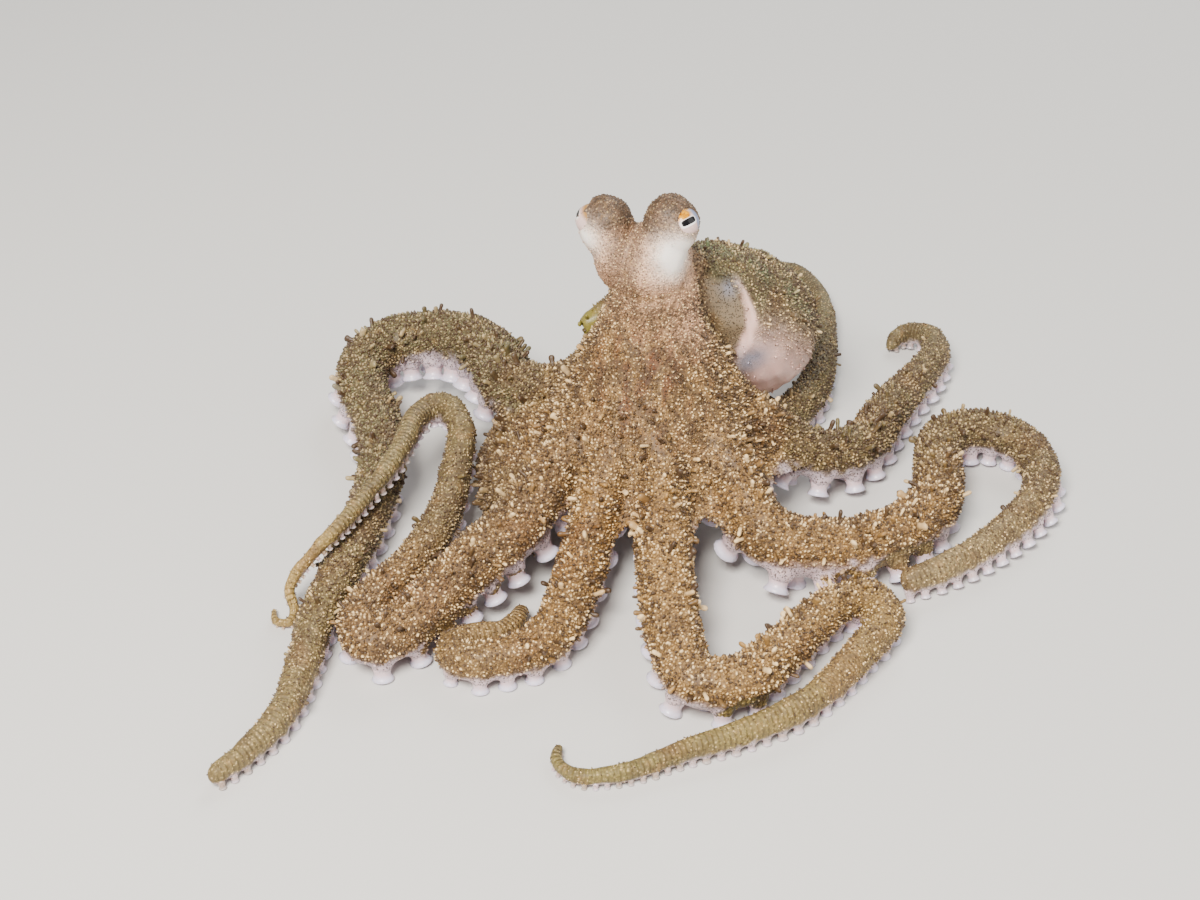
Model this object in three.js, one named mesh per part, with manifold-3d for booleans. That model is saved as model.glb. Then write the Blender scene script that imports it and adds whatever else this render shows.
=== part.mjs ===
// A long-armed sand octopus, life size, standing alert on the sea floor with its head raised.
// Millimetres, +Z up. The floor is z = 0. The eight arms are numbered from the front: left_1 and
// right_1 are the front pair and left_4 and right_4 the rear pair, on the animal's own left and right.
// Every length of arm, and each part of the body, is one closed solid a thin gap away from its neighbours.
import * as THREE from "three";
import { mergeVertices } from "three/addons/utils/BufferGeometryUtils.js";
import Module from "manifold-3d";

const wasm = await Module();
wasm.setup();

// ---------------------------------------------------------------------------------------------
// Driving dimensions
// ---------------------------------------------------------------------------------------------
const GAP = 0.3; // the thin cut between neighbouring parts
const ORIGIN = [-3.06, -4.2]; // the crown's axis, from the middle of the animal's outline on the floor

// The arms. A section is drawn for a radius of one and multiplied by the arm's radius there.
const REST_HEIGHT = 1.45; // the arm's centre line above its sucker rims, in radii
const SECTION = [[0.38, 0.84], [0.88, 0.4], [1.0, -0.3], [0.74, -1.0]]; // right half, top to bottom: side, up
const KEEL = [0.52, -REST_HEIGHT]; // lowest corner where the suckers are too small to be modelled one by one
const ARM_STEP = 3.0; // longest facet of an arm, in radii
const MOST_TURN = THREE.MathUtils.degToRad(35); // of the arm within one facet
const SQUEEZE = [0.84, 20, 40]; // arms crowd at the crown: width there, and the distances where it eases off
const TIP_ROUNDING = [0.86, 0.55]; // the last two rings of a tip, as shares of the radius

// The suckers, in two alternating rows.
const SUCKER_PITCH = 1.5; // between neighbours of one row, in radii of the arm
const SUCKER_OUT = 0.47; // row to centre line, in radii
const SUCKER_ROOT = -0.6; // where a sucker grows out of the flesh, in radii above the centre line
const SUCKER_RIM = 0.4;
const SUCKER_WAIST = 0.34;
const SUCKER_SIDES = 5;
const SMALLEST_SUCKERED_RADIUS = 4.9; // a thinner arm has a keel in place of single suckers
const FIRST_SUCKER = 26; // from the start of the arm, just outside the crown
const LAST_SUCKER = 86;

// The crown: the tent of skin and arm roots under the head.
const CROWN_RADIUS = 24; // the crown ends, and the free arms start, on this upright cylinder
const CROWN_TOP = 46;
const TENT_PROFILE = [ // radius and height of the tent's skin, from the mouth under it to the neck above
  [0, 18], [4, 17], [9, 19], [15, 18], [20, 15.5], [22.8, 15.6], [23.6, 17], [22, 20.5], [18.6, 26.5],
  [14.8, 33.5], [11.2, 41], [9, 47], [8.3, 52], [0, 52],
];
const TENT_SIDES = 16;
const WEB_PROFILE = [ // the hanging fold of web: its under side going out, and its skin coming back
  [24.3, 14.2], [28.6, 12.8], [31.4, 10.4], [32.2, 7.6], [32.0, 4], [34.2, 4], [34.6, 8], [33.0, 12.4], [29.4, 15.4],
  [24.3, 17], [24.3, 14.2],
];
const WEB_SPAN = [146, 226]; // azimuths between which the fold hangs
const WEB_SIDES = 30;
const WEB_ARMS = ["arm_right_2", "arm_right_3"];
const FRONT_ROOT = [[5, 27.5], [12, 25.8], [19, 21.5]]; // distance from the axis and height of a root
const REAR_ROOT = [[5, 24], [12, 19.5], [19, 14.5]];

// The head, with its eyes on two stalks. Its left points to +X, and it looks a little to -X.
const HEADING = THREE.MathUtils.degToRad(-108);
const LEFTWARDS = HEADING + Math.PI / 2;
const HEAD_CENTRE = [-2.2, -1.4, 56];
const HEAD_RADII = [9.6, 9.0, 7.8]; // across, fore and aft, up
const BROW_CENTRE = [-3.0, -1.8]; // midway between the stalks
const STALK_SPREAD = 6.2; // stalk to that point
const STALK_HEIGHT = { left: 65.0, right: 62.8 }; // the head leans a little to its right
const STALK_RADII = [5.6, 5.4, 6.2]; // across, fore and aft, up
const STALK_FOOT = 60; // the stalks are parted from the head at this height
const EYE_RADIUS = 3.0;
const EYE_OUT = 2.9; // eyeball to the middle of its stalk
const EYE_SWING = THREE.MathUtils.degToRad(68); // the eyes look this far to either side of the heading
const EYE_RISE = THREE.MathUtils.degToRad(25);

// The mantle, a pear-shaped sac that hangs behind the head.
const MANTLE_NECK = [3.5, 6, 48];
const MANTLE_END = [27.6, 38.6, 13.6];
const MANTLE_PROFILE = [[0, 0], [0.02, 7.4], [0.14, 9.6], [0.26, 12.0], [0.42, 13.7], [0.58, 14.9], [0.74, 14.3],
  [0.87, 11.0], [0.96, 5.6], [1, 0]]; // share of the length, radius
const MANTLE_SIDES = 18;
const COLLAR_SHARE = 0.2; // the mantle's front edge, where it meets the head

// The funnel, a soft tube that comes out from under the mantle's edge beside the neck.
const FUNNEL_POINTS = [[4, 11, 40], [-4.5, 15.4, 38.6], [-14.2, 12.4, 36.6]];
const FUNNEL_RADII = [4.0, 3.2, 2.2];

// Each arm: where it leaves the crown, its radius at the root and the tip, how soon it thins, and the points that
// its centre line passes on the floor: x, y, height of the suckers above the floor, and roll to its own right.
const ARMS = [
  { name: "arm_left_1", azimuth: -85, root: FRONT_ROOT, radii: [6.8, 1.0], thinning: 0.7, cuts: [40, 72, 106, 148],
    path: [[1.8, -37, 5, 0], [3.0, -51, 1.5, 0], [6.5, -61.4, 0, -8], [14.2, -61.8, 0, 0], [21.2, -54.6, 0, 8],
      [27.4, -46.6, 0, 8], [33.0, -39.8, 0, 6], [39.4, -37.0, 0, 0], [42.2, -42.6, 0, -6], [36.8, -51.4, 0, -8],
      [31.0, -59.0, 0, -4], [24.2, -65.4, 0, 0], [13.6, -71.2, 0, 0], [4.4, -74.8, 0, 0], [-4.4, -79, 0, 0],
      [-13.4, -80.2, 0, 0], [-17.2, -76.6, 0, 0], [-16.9, -72.0, 0, 0]] },
  { name: "arm_left_2", azimuth: -47, root: FRONT_ROOT, radii: [7.2, 2.8], thinning: 0.9, cuts: [45, 72, 98, 125, 158],
    path: [[20.9, -25.6, 3, 0], [28, -26.4, 0.6, -6], [38, -24.8, 0, -6], [48.4, -18.6, 0, 0], [55.6, -9.4, 0, 6],
      [57.4, 0.4, 0.4, 0], [58.4, 7.8, 0.6, 0], [61.6, 13.6, 0.6, 0], [68.2, 15.4, 0.6, 0], [75.2, 12.6, 0.4, 8],
      [78.2, 5.4, 0, 18], [77.0, -3.2, 0, 22], [71.6, -12.0, 0, 22], [64.0, -19.8, 0, 20], [55.4, -26.2, 0, 14],
      [46.4, -30.6, 0, 4]] },
  { name: "arm_left_3", azimuth: 2, root: FRONT_ROOT, radii: [6.4, 0.9], thinning: 0.42, cuts: [42, 72, 96],
    path: [[29.5, 1.6, 4, -8], [37.5, 4.2, 1.2, -10], [44.0, 10.4, 0.6, -6], [49.0, 20.4, 0.6, -4], [54.4, 30.2, 0.6, -8],
      [60.0, 39.6, 0.6, -14], [63.6, 48.6, 0.6, -14], [63.0, 56.2, 0.8, -6], [58.0, 58.6, 0.6, 0], [54.2, 55.4, 0, 0]] },
  { name: "arm_left_4", azimuth: 42, root: REAR_ROOT, radii: [5.6, 0.8], thinning: 0.85, cuts: [45, 78, 108, 128],
    path: [[25.0, 18.6, 0, 0], [33.0, 27.6, 0, 0], [37.2, 39.6, 0, 0], [39.6, 53.6, 0, 0], [40.8, 67.6, 0, 0],
      [39.4, 79.6, 0, 0], [35.4, 87.4, 0, 0], [27.8, 88.6, 0, 0], [21.6, 83.6, 0, 0], [21.8, 76, 0, 0],
      [27.8, 73.4, 0, 0], [31.6, 77.4, 0, 0]] },
  { name: "arm_right_1", azimuth: -116, root: FRONT_ROOT, radii: [6.2, 0.8], thinning: 0.42, cuts: [42, 63, 88],
    path: [[-13.4, -32.6, 2.6, 0], [-16.0, -42.4, 0.8, 0], [-20.2, -50.8, 0, -6], [-27, -53.8, 0, -4],
      [-33.0, -54.6, 0, 0], [-36.5, -51.3, 0, 0], [-33.4, -47.6, 0, 0], [-28.2, -45.6, 0, 0], [-25.4, -41.2, 0, 0],
      [-24.4, -35.8, 0, 0]] },
  { name: "arm_right_2", azimuth: -144, root: FRONT_ROOT, radii: [7.2, 0.7], thinning: 0.95, cuts: [46, 60, 84, 112, 140, 170],
    path: [[-25.6, -25.4, 5, 8], [-32.4, -32.8, 3.4, 8], [-39.4, -41.2, 1.6, 4], [-46.0, -48.4, 0, 0],
      [-50.8, -51.0, 0, 0], [-53.0, -45.6, 0, 0], [-51.2, -38.6, 0, 0], [-47.0, -31.8, 0.6, 0],
      [-42.4, -23.6, 2.4, 0], [-39.2, -13.2, 5, 0], [-38.0, -4.0, 8, 0], [-37.6, 3.4, 11, 0], [-39.6, 9.0, 12.6, 0],
      [-42.8, 9.8, 13, 0], [-46.4, 6.2, 13, 0], [-48.4, -1.6, 12.9, 0], [-50.4, -8.6, 12.6, 0],
      [-53.4, -15.2, 12, 0], [-56.6, -21.6, 11.4, 0], [-59.2, -26.8, 11.2, 0], [-62.6, -30.4, 9.6, 0],
      [-67.6, -34.0, 4.2, 0], [-66.8, -36.6, 0.6, 0], [-67.4, -39.4, 0, 0], [-70.0, -38.4, 0, 0],
      [-70.9, -34.8, 0, 0]] },
  { name: "arm_right_3", azimuth: 152, root: FRONT_ROOT, radii: [7.2, 1.8], thinning: 0.6, cuts: [40, 72, 98, 134, 170],
    path: [[-27.4, 15.4, 8, 6], [-31.6, 27.6, 7.4, 10], [-38.2, 37.2, 6.4, 12], [-46.6, 41.4, 5, 12],
      [-55.0, 41.6, 3.6, 0], [-59.8, 35.4, 2.2, -20], [-59.2, 27.0, 1, -24], [-55.8, 18.2, 0.2, -20],
      [-53.8, 7.2, 0, -8], [-54.2, -6.0, 0, 0], [-56.2, -19.0, 0, 0], [-59.0, -31.4, 0, 0], [-61.8, -43.6, 0, 0],
      [-62.9, -55.8, 0, 0], [-65.2, -67.2, 0, 0], [-70.2, -75.8, 0, 0], [-75.4, -81.6, 0, 0]] },
  { name: "arm_right_4", azimuth: 98, root: REAR_ROOT, radii: [5.7, 0.8], thinning: 0.85, cuts: [40, 66, 88],
    path: [[-3.2, 28, 0, 0], [-2.4, 40, 0, 0], [-5.6, 51.6, 0, 0], [-4.0, 62.6, 0, 0], [3.2, 69.6, 0, 0],
      [10.6, 64.6, 0, 0], [11.4, 55.6, 0, 0], [5.8, 51.8, 0, 0], [2.8, 56.6, 0, 0], [5.8, 60.6, 0, 0]] },
];

// Colours and finishes of the plain solids.
const SKIN = { color: 0xa08a63, roughness: 0.75, metalness: 0 };
const PALE_SKIN = { color: 0xd9bba8, roughness: 0.6, metalness: 0 };
const EYE = { color: 0xcfc8c4, roughness: 0.15, metalness: 0 };

// ---------------------------------------------------------------------------------------------
// Solids
// ---------------------------------------------------------------------------------------------

// A closed geometry as a solid.
function solidOf(geometry) {
  const bare = geometry.clone();
  bare.deleteAttribute("normal");
  bare.deleteAttribute("uv");
  const merged = mergeVertices(bare, 1e-4);
  return new wasm.Manifold(new wasm.Mesh({
    numProp: 3,
    vertProperties: new Float32Array(merged.attributes.position.array),
    triVerts: new Uint32Array(merged.index.array),
  }));
}

// A solid as a geometry.
function geometryOf(solid) {
  const mesh = solid.getMesh();
  const geometry = new THREE.BufferGeometry();
  geometry.setAttribute("position", new THREE.BufferAttribute(new Float32Array(mesh.vertProperties), 3));
  geometry.setIndex(new THREE.BufferAttribute(new Uint32Array(mesh.triVerts), 1));
  return geometry;
}

// The largest of a solid's separate bodies: slivers left by a cut are dropped.
function mainBody(solid) {
  return solid.decompose().sort((a, b) => b.volume() - a.volume())[0];
}

// Everything above the height z, out to far beyond the animal.
function above(z) {
  const size = 400;
  return solidOf(new THREE.BoxGeometry(size, size, size).translate(0, 0, z + size / 2));
}

// An upright cylinder round the crown's axis.
function column(radius) {
  return solidOf(new THREE.CylinderGeometry(radius, radius, 200, 24).rotateX(Math.PI / 2).translate(0, 0, 50));
}

// An egg: a sphere with three radii, turned about Z.
function egg(centre, radii, turn, across, down) {
  return solidOf(new THREE.SphereGeometry(1, across, down).rotateX(Math.PI / 2)
    .scale(radii[0], radii[1], radii[2]).rotateZ(turn).translate(...centre));
}

// ---------------------------------------------------------------------------------------------
// Arms
// ---------------------------------------------------------------------------------------------

// The arm's centre line, radius and frame at any distance along it.
class Arm {
  constructor(spec) {
    Object.assign(this, spec);
    const azimuth = THREE.MathUtils.degToRad(this.azimuth);
    const rootLift = REST_HEIGHT * this.radii[0];
    const roots = this.root.map(([out, z]) => [out * Math.cos(azimuth), out * Math.sin(azimuth), z - rootLift, 0]);
    const knots = [...roots, ...this.path];
    this.curve = new THREE.CatmullRomCurve3(knots.map((k) => new THREE.Vector3(k[0], k[1], k[2])), false, "centripetal");
    this.curve.arcLengthDivisions = 600;
    this.rolls = knots.map((k) => THREE.MathUtils.degToRad(k[3]));
    this.length = this.curve.getLength();
  }

  radius(s) {
    const left = Math.max(0, 1 - s / this.length);
    return this.radii[1] + (this.radii[0] - this.radii[1]) * left ** this.thinning;
  }

  // Rest height of the suckers, and a smooth roll between the knots.
  frame(s) {
    const u = THREE.MathUtils.clamp(s / this.length, 0, 1);
    const t = this.curve.getUtoTmapping(u) * (this.rolls.length - 1);
    const knot = Math.min(Math.floor(t), this.rolls.length - 2);
    const share = THREE.MathUtils.smoothstep(t - knot, 0, 1);
    const roll = THREE.MathUtils.lerp(this.rolls[knot], this.rolls[knot + 1], share);
    const radius = this.radius(s);
    const centre = this.curve.getPointAt(u);
    centre.z += REST_HEIGHT * radius;
    const along = this.curve.getTangentAt(u);
    const side = new THREE.Vector3().crossVectors(along, new THREE.Vector3(0, 0, 1)).normalize();
    const up = new THREE.Vector3().crossVectors(side, along).normalize();
    side.applyAxisAngle(along, roll);
    up.applyAxisAngle(along, roll);
    const squeeze = THREE.MathUtils.lerp(SQUEEZE[0], 1, THREE.MathUtils.smoothstep(s, SQUEEZE[1], SQUEEZE[2]));
    return { centre, along, side, up, radius, squeeze };
  }

  // A point beside the centre line, given in radii, and never under the floor.
  place(frame, side, up, along = 0) {
    const point = frame.centre.clone().addScaledVector(frame.side, side * frame.radius * frame.squeeze)
      .addScaledVector(frame.up, up * frame.radius).addScaledVector(frame.along, along * frame.radius);
    point.z = Math.max(point.z, 0);
    return point;
  }

  // Where the rings of facets stand between two distances: closer together where the arm bends.
  stations(from, to) {
    const found = [from];
    let last = this.frame(from);
    for (let s = from + 0.5; s < to - 1; s += 0.5) {
      const here = this.frame(s);
      const long = s - found.at(-1) > ARM_STEP * here.radius;
      if (long || last.along.angleTo(here.along) > MOST_TURN) {
        found.push(s);
        last = here;
      }
    }
    found.push(to);
    return found;
  }

  hasSuckers(s) {
    return s < LAST_SUCKER && this.radius(s) > SMALLEST_SUCKERED_RADIUS;
  }

  // How far along the two rows of suckers stand, left and right by turns.
  suckers() {
    const found = [];
    let s = FIRST_SUCKER;
    let side = 1;
    while (this.hasSuckers(s)) {
      found.push({ s, side });
      s += (SUCKER_PITCH / 2) * this.radius(s) * 1.02;
      side = -side;
    }
    return found;
  }

  // The flesh from one distance to another, swollen by `grow`: a cylinder whose rings are bent along the arm.
  flesh(from, to, grow = 0) {
    const stations = this.stations(from, to);
    const rings = stations.length - 1;
    const sides = 2 * SECTION.length;
    const geometry = new THREE.CylinderGeometry(1, 1, 1, sides, rings);
    const position = geometry.attributes.position;
    const tip = to >= this.length - 0.01;
    for (let i = 0; i < position.count; i++) {
      const ring = Math.round((0.5 - position.getY(i)) * rings);
      const s = stations[ring];
      const frame = this.frame(s);
      const left = rings - ring;
      const shrink = tip && left < TIP_ROUNDING.length ? TIP_ROUNDING[1 - left] : 1;
      const flat = Math.hypot(position.getX(i), position.getZ(i)) > 0.5;
      const turn = Math.atan2(position.getX(i), position.getZ(i));
      const corner = (Math.round((turn / (2 * Math.PI)) * sides) + sides) % sides;
      const half = corner < SECTION.length ? corner : sides - 1 - corner;
      const hand = corner < SECTION.length ? -1 : 1;
      const keel = half === SECTION.length - 1 && !this.hasSuckers(s);
      const [side, up] = keel ? KEEL : SECTION[half];
      const swell = flat ? 1 + grow / frame.radius : 0;
      const point = this.place(frame, hand * side * shrink * swell, up * (up < 0 ? 1 : shrink) * swell);
      position.setXYZ(i, point.x, point.y, point.z);
    }
    return solidOf(geometry);
  }

  // One sucker: a short stalk that widens to its rim, standing out of the flesh.
  sucker({ s, side }, grow = 0) {
    const frame = this.frame(s);
    const swell = 1 + grow / (SUCKER_RIM * frame.radius);
    const geometry = new THREE.CylinderGeometry(SUCKER_WAIST * swell, SUCKER_RIM * swell, 1, SUCKER_SIDES);
    const position = geometry.attributes.position;
    for (let i = 0; i < position.count; i++) {
      const up = THREE.MathUtils.lerp(-REST_HEIGHT, SUCKER_ROOT, position.getY(i) + 0.5);
      const point = this.place(frame, side * SUCKER_OUT + position.getX(i), up, -position.getZ(i));
      position.setXYZ(i, point.x, point.y, point.z);
    }
    return solidOf(geometry);
  }

  // A block that stands square on the arm at s and reaches on from there, forwards or backwards.
  block(s, forwards) {
    const { centre, along, side, up, radius } = this.frame(s);
    const reach = SUCKER_RIM * radius * 1.5;
    const turn = new THREE.Matrix4().makeBasis(side, along, up);
    return solidOf(new THREE.BoxGeometry(3 * radius, reach, 3.4 * radius).applyMatrix4(turn)
      .translate(...centre.addScaledVector(along, (forwards ? 0.5 : -0.5) * reach)));
  }

  // One length of arm between its cuts, with its suckers, swollen by `grow`.
  lengthOf(i, grow = 0) {
    const ends = [0, ...this.cuts, this.length];
    const from = i ? ends[i] + GAP / 2 : 0;
    const to = i < this.cuts.length ? ends[i + 1] - GAP / 2 : this.length;
    const own = this.suckers().filter(({ s }) => s > ends[i] && s <= ends[i + 1]);
    const whole = wasm.Manifold.union([this.flesh(from, to, grow), ...own.map((each) => this.sucker(each, grow))]);
    const started = i ? whole.subtract(this.block(from, false)) : whole;
    return i < this.cuts.length ? started.subtract(this.block(to, true)) : started;
  }
}

// ---------------------------------------------------------------------------------------------
// Body
// ---------------------------------------------------------------------------------------------

// The tent's skin as one turned solid, swollen by `grow`.
function tent(grow = 0) {
  const profile = TENT_PROFILE.map(([r, z]) => new THREE.Vector2(r > 0 ? r + grow : 0, z));
  return solidOf(new THREE.LatheGeometry(profile, TENT_SIDES).rotateX(Math.PI / 2));
}

// The deep fold of web that hangs between the second and third right arms, clear of both.
function web(arms) {
  const ring = solidOf(new THREE.LatheGeometry(WEB_PROFILE.map(([r, z]) => new THREE.Vector2(r, z)), WEB_SIDES)
    .rotateX(Math.PI / 2));
  const far = 100;
  const corners = WEB_SPAN.map((azimuth) => THREE.MathUtils.degToRad(azimuth))
    .map((azimuth) => new THREE.Vector2(far * Math.cos(azimuth), far * Math.sin(azimuth)));
  const wedge = new THREE.ExtrudeGeometry(new THREE.Shape([new THREE.Vector2(), ...corners]),
    { depth: CROWN_TOP, bevelEnabled: false });
  const neighbours = arms.filter(({ name }) => WEB_ARMS.includes(name))
    .flatMap((arm) => [arm.lengthOf(0, GAP), arm.lengthOf(1, GAP)]);
  return ring.intersect(solidOf(wedge)).subtract(wasm.Manifold.union(neighbours));
}

// The mantle along its own axis; grow makes it fatter by that many millimetres.
function mantle(grow = 0) {
  const neck = new THREE.Vector3(...MANTLE_NECK);
  const axis = new THREE.Vector3(...MANTLE_END).sub(neck);
  const length = axis.length();
  const profile = MANTLE_PROFILE.map(([share, r]) => {
    const end = share === 0 ? -grow : share === 1 ? grow : 0;
    return new THREE.Vector2(r > 0 ? r + grow : 0, share * length + end);
  });
  const turn = new THREE.Quaternion().setFromUnitVectors(new THREE.Vector3(0, 1, 0), axis.clone().normalize());
  const geometry = new THREE.LatheGeometry(profile, MANTLE_SIDES).applyQuaternion(turn).translate(...neck);
  return solidOf(geometry);
}

// Everything behind the mantle's collar, plus `beyond` millimetres.
function behindCollar(beyond) {
  const neck = new THREE.Vector3(...MANTLE_NECK);
  const axis = new THREE.Vector3(...MANTLE_END).sub(neck);
  const size = 200;
  const centre = neck.clone().addScaledVector(axis, COLLAR_SHARE)
    .addScaledVector(axis.clone().normalize(), size / 2 + beyond);
  const turn = new THREE.Quaternion().setFromUnitVectors(new THREE.Vector3(0, 0, 1), axis.normalize());
  return solidOf(new THREE.BoxGeometry(size, size, size).applyQuaternion(turn).translate(...centre));
}

// The middle of an eye stalk.
function stalkCentre(hand) {
  const out = hand === "left" ? STALK_SPREAD : -STALK_SPREAD;
  return [BROW_CENTRE[0] + out * Math.cos(LEFTWARDS), BROW_CENTRE[1] + out * Math.sin(LEFTWARDS), STALK_HEIGHT[hand]];
}

// The stalk's bulb, from the brow down into the head.
function stalk(hand) {
  return egg(stalkCentre(hand), STALK_RADII, LEFTWARDS, 10, 7);
}

// An eyeball, out to the side of its stalk; grow makes the room round it.
function eyeball(hand, grow = 0) {
  const azimuth = HEADING + (hand === "left" ? EYE_SWING : -EYE_SWING);
  const out = EYE_OUT * Math.cos(EYE_RISE);
  const [x, y, z] = stalkCentre(hand);
  const centre = [x + out * Math.cos(azimuth), y + out * Math.sin(azimuth), z + EYE_OUT * Math.sin(EYE_RISE)];
  return egg(centre, Array(3).fill(EYE_RADIUS + grow), 0, 10, 7);
}

// The funnel: a bent cone of round section.
function funnel() {
  const curve = new THREE.CatmullRomCurve3(FUNNEL_POINTS.map((p) => new THREE.Vector3(...p)));
  const rings = 6;
  const geometry = new THREE.CylinderGeometry(1, 1, 1, 10, rings);
  const position = geometry.attributes.position;
  for (let i = 0; i < position.count; i++) {
    const u = 0.5 - position.getY(i);
    const along = curve.getTangentAt(u);
    const side = new THREE.Vector3().crossVectors(along, new THREE.Vector3(0, 0, 1)).normalize();
    const up = new THREE.Vector3().crossVectors(side, along);
    const knot = u * (FUNNEL_RADII.length - 1);
    const low = Math.min(Math.floor(knot), FUNNEL_RADII.length - 2);
    const r = THREE.MathUtils.lerp(FUNNEL_RADII[low], FUNNEL_RADII[low + 1], knot - low);
    const point = curve.getPointAt(u).addScaledVector(side, position.getX(i) * r)
      .addScaledVector(up, -position.getZ(i) * r);
    position.setXYZ(i, point.x, point.y, point.z);
  }
  return solidOf(geometry);
}

// ---------------------------------------------------------------------------------------------
// Assembly
// ---------------------------------------------------------------------------------------------
const octopus = new THREE.Group();

function add(name, solid, finish) {
  const mesh = new THREE.Mesh(geometryOf(solid), new THREE.MeshStandardMaterial(finish));
  mesh.name = name;
  mesh.position.set(ORIGIN[0], ORIGIN[1], 0);
  octopus.add(mesh);
}

const arms = ARMS.map((spec) => new Arm(spec));
const bigMantle = mantle(GAP).intersect(behindCollar(0));
const bigHead = egg(HEAD_CENTRE, HEAD_RADII.map((r) => r + GAP), LEFTWARDS, 12, 8);
const roots = arms.map((arm) => arm.flesh(0, CROWN_RADIUS + 12));

const crown = wasm.Manifold.union([tent(), ...roots]).intersect(column(CROWN_RADIUS))
  .subtract(above(CROWN_TOP)).subtract(bigMantle);
const head = wasm.Manifold.union([tent(), egg(HEAD_CENTRE, HEAD_RADII, LEFTWARDS, 12, 8),
  mantle().subtract(behindCollar(-GAP)), stalk("left"), stalk("right")])
  .intersect(above(CROWN_TOP + GAP)).subtract(above(STALK_FOOT)).subtract(bigMantle);

add("crown", mainBody(crown), SKIN);
add("web_right", mainBody(web(arms)), SKIN);
add("head", mainBody(head), SKIN);
add("mantle", mainBody(mantle().intersect(behindCollar(GAP))), SKIN);
add("funnel", mainBody(funnel().subtract(tent(GAP)).subtract(bigHead).subtract(mantle(GAP))), SKIN);
for (const hand of ["left", "right"]) {
  const bulb = stalk(hand).intersect(above(STALK_FOOT + GAP)).subtract(eyeball(hand, GAP));
  add(`eye_stalk_${hand}`, mainBody(bulb), PALE_SKIN);
  add(`eye_${hand}`, eyeball(hand), EYE);
}
for (const arm of arms) {
  for (let i = 0; i <= arm.cuts.length; i++) {
    const solid = i ? arm.lengthOf(i) : arm.lengthOf(i).subtract(column(CROWN_RADIUS + GAP));
    add(`${arm.name}_length_${i + 1}`, mainBody(solid), SKIN);
  }
}

export default octopus;
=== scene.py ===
"""A long-armed sand octopus, life size, standing on its arms with its head raised on a tent of web.

Shapes are worked out in millimetres from the middle of the crown, and each finished piece is set down in
metres in the model's own frame.
"""

import logging
import math
from collections.abc import Callable
from dataclasses import dataclass
from enum import Enum
from typing import TypeVar

import bmesh
import bpy
import numpy as np
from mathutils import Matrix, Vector
from mathutils.kdtree import KDTree


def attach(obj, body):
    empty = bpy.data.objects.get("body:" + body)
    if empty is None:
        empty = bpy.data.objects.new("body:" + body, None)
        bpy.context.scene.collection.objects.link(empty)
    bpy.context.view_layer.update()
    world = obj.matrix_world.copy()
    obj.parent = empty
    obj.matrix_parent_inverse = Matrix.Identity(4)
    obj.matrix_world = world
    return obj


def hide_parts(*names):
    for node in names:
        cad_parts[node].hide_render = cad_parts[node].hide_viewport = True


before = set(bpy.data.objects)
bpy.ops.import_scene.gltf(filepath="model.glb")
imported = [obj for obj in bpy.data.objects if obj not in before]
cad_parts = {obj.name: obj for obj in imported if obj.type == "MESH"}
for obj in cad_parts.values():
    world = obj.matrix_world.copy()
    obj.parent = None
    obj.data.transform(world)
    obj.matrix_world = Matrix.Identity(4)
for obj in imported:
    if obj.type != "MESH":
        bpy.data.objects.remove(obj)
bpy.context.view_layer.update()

LOG = logging.getLogger("octopus")
MM = 0.001
CROWN = np.array([-3.06, -4.2, 0.0])  # the crown's axis in the model's frame
UP = np.array([0.0, 0.0, 1.0])
COAT_DEPTH = 0.45  # what the grains add to the skin
SKIN_SLACK = 0.04
GRAIN_ON_MAP = 0.0015  # a grain's size on the map that its colour is baked to

Array = np.ndarray
Patch = tuple[Array, list[tuple[int, ...]]]  # corners and faces
Choice = TypeVar("Choice")


# ---- Numbers and shapes ----
def fade(x: Array | float, low: float, high: float) -> Array:
    """Rises smoothly from 0 at low to 1 at high, or falls if low is the greater."""
    t = np.clip((np.asarray(x, dtype=float) - low) / (high - low), 0.0, 1.0)
    return t * t * (3.0 - 2.0 * t)


def blend(a: Array | float, b: Array | float, share: Array | float) -> Array:
    """What lies between a and b."""
    return a + (b - a) * share


def unit(v: Array) -> Array:
    """The vectors at length 1."""
    return v / np.maximum(np.linalg.norm(v, axis=-1, keepdims=True), 1e-9)


def turned(azimuth: float, elevation: float = 0.0) -> Array:
    """The direction with that azimuth and elevation, in degrees."""
    a, e = math.radians(azimuth), math.radians(elevation)
    return np.array([math.cos(a) * math.cos(e), math.sin(a) * math.cos(e), math.sin(e)])


def blob(points: Array, centre: Array | tuple[float, float, float], radius: float) -> Array:
    """1 at the centre of a soft round patch, fading to 0 outside it."""
    away = np.linalg.norm(points - np.array(centre), axis=-1) / radius
    return np.exp(-away ** 2)


def smooth_line(knots: Array, steps: int) -> tuple[Array, Array]:
    """A centripetal Catmull-Rom curve through the knots.

    Args:
        knots: The points, one a row.
        steps: Samples from each knot to the next.

    Returns:
        The samples, and how many knots along each one is.
    """
    knots = np.asarray(knots, dtype=float)
    padded = np.vstack([2 * knots[0] - knots[1], knots, 2 * knots[-1] - knots[-2]])
    found, places = [], []
    for i in range(len(knots) - 1):
        x0, x1, x2, x3 = padded[i:i + 4]
        d0, d1, d2 = (max(float(np.sum((b - a) ** 2)) ** 0.25, 1e-4)
                      for a, b in ((x0, x1), (x1, x2), (x2, x3)))
        m1 = ((x1 - x0) / d0 - (x2 - x0) / (d0 + d1) + (x2 - x1) / d1) * d1
        m2 = ((x2 - x1) / d1 - (x3 - x1) / (d1 + d2) + (x3 - x2) / d2) * d1
        square, cube = -3 * x1 + 3 * x2 - 2 * m1 - m2, 2 * x1 - 2 * x2 + m1 + m2
        last = i == len(knots) - 2
        for k in range(steps + last):
            t = k / steps
            found.append(x1 + m1 * t + square * t ** 2 + cube * t ** 3)
            places.append(i + t)
    return np.array(found), np.array(places)


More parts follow.
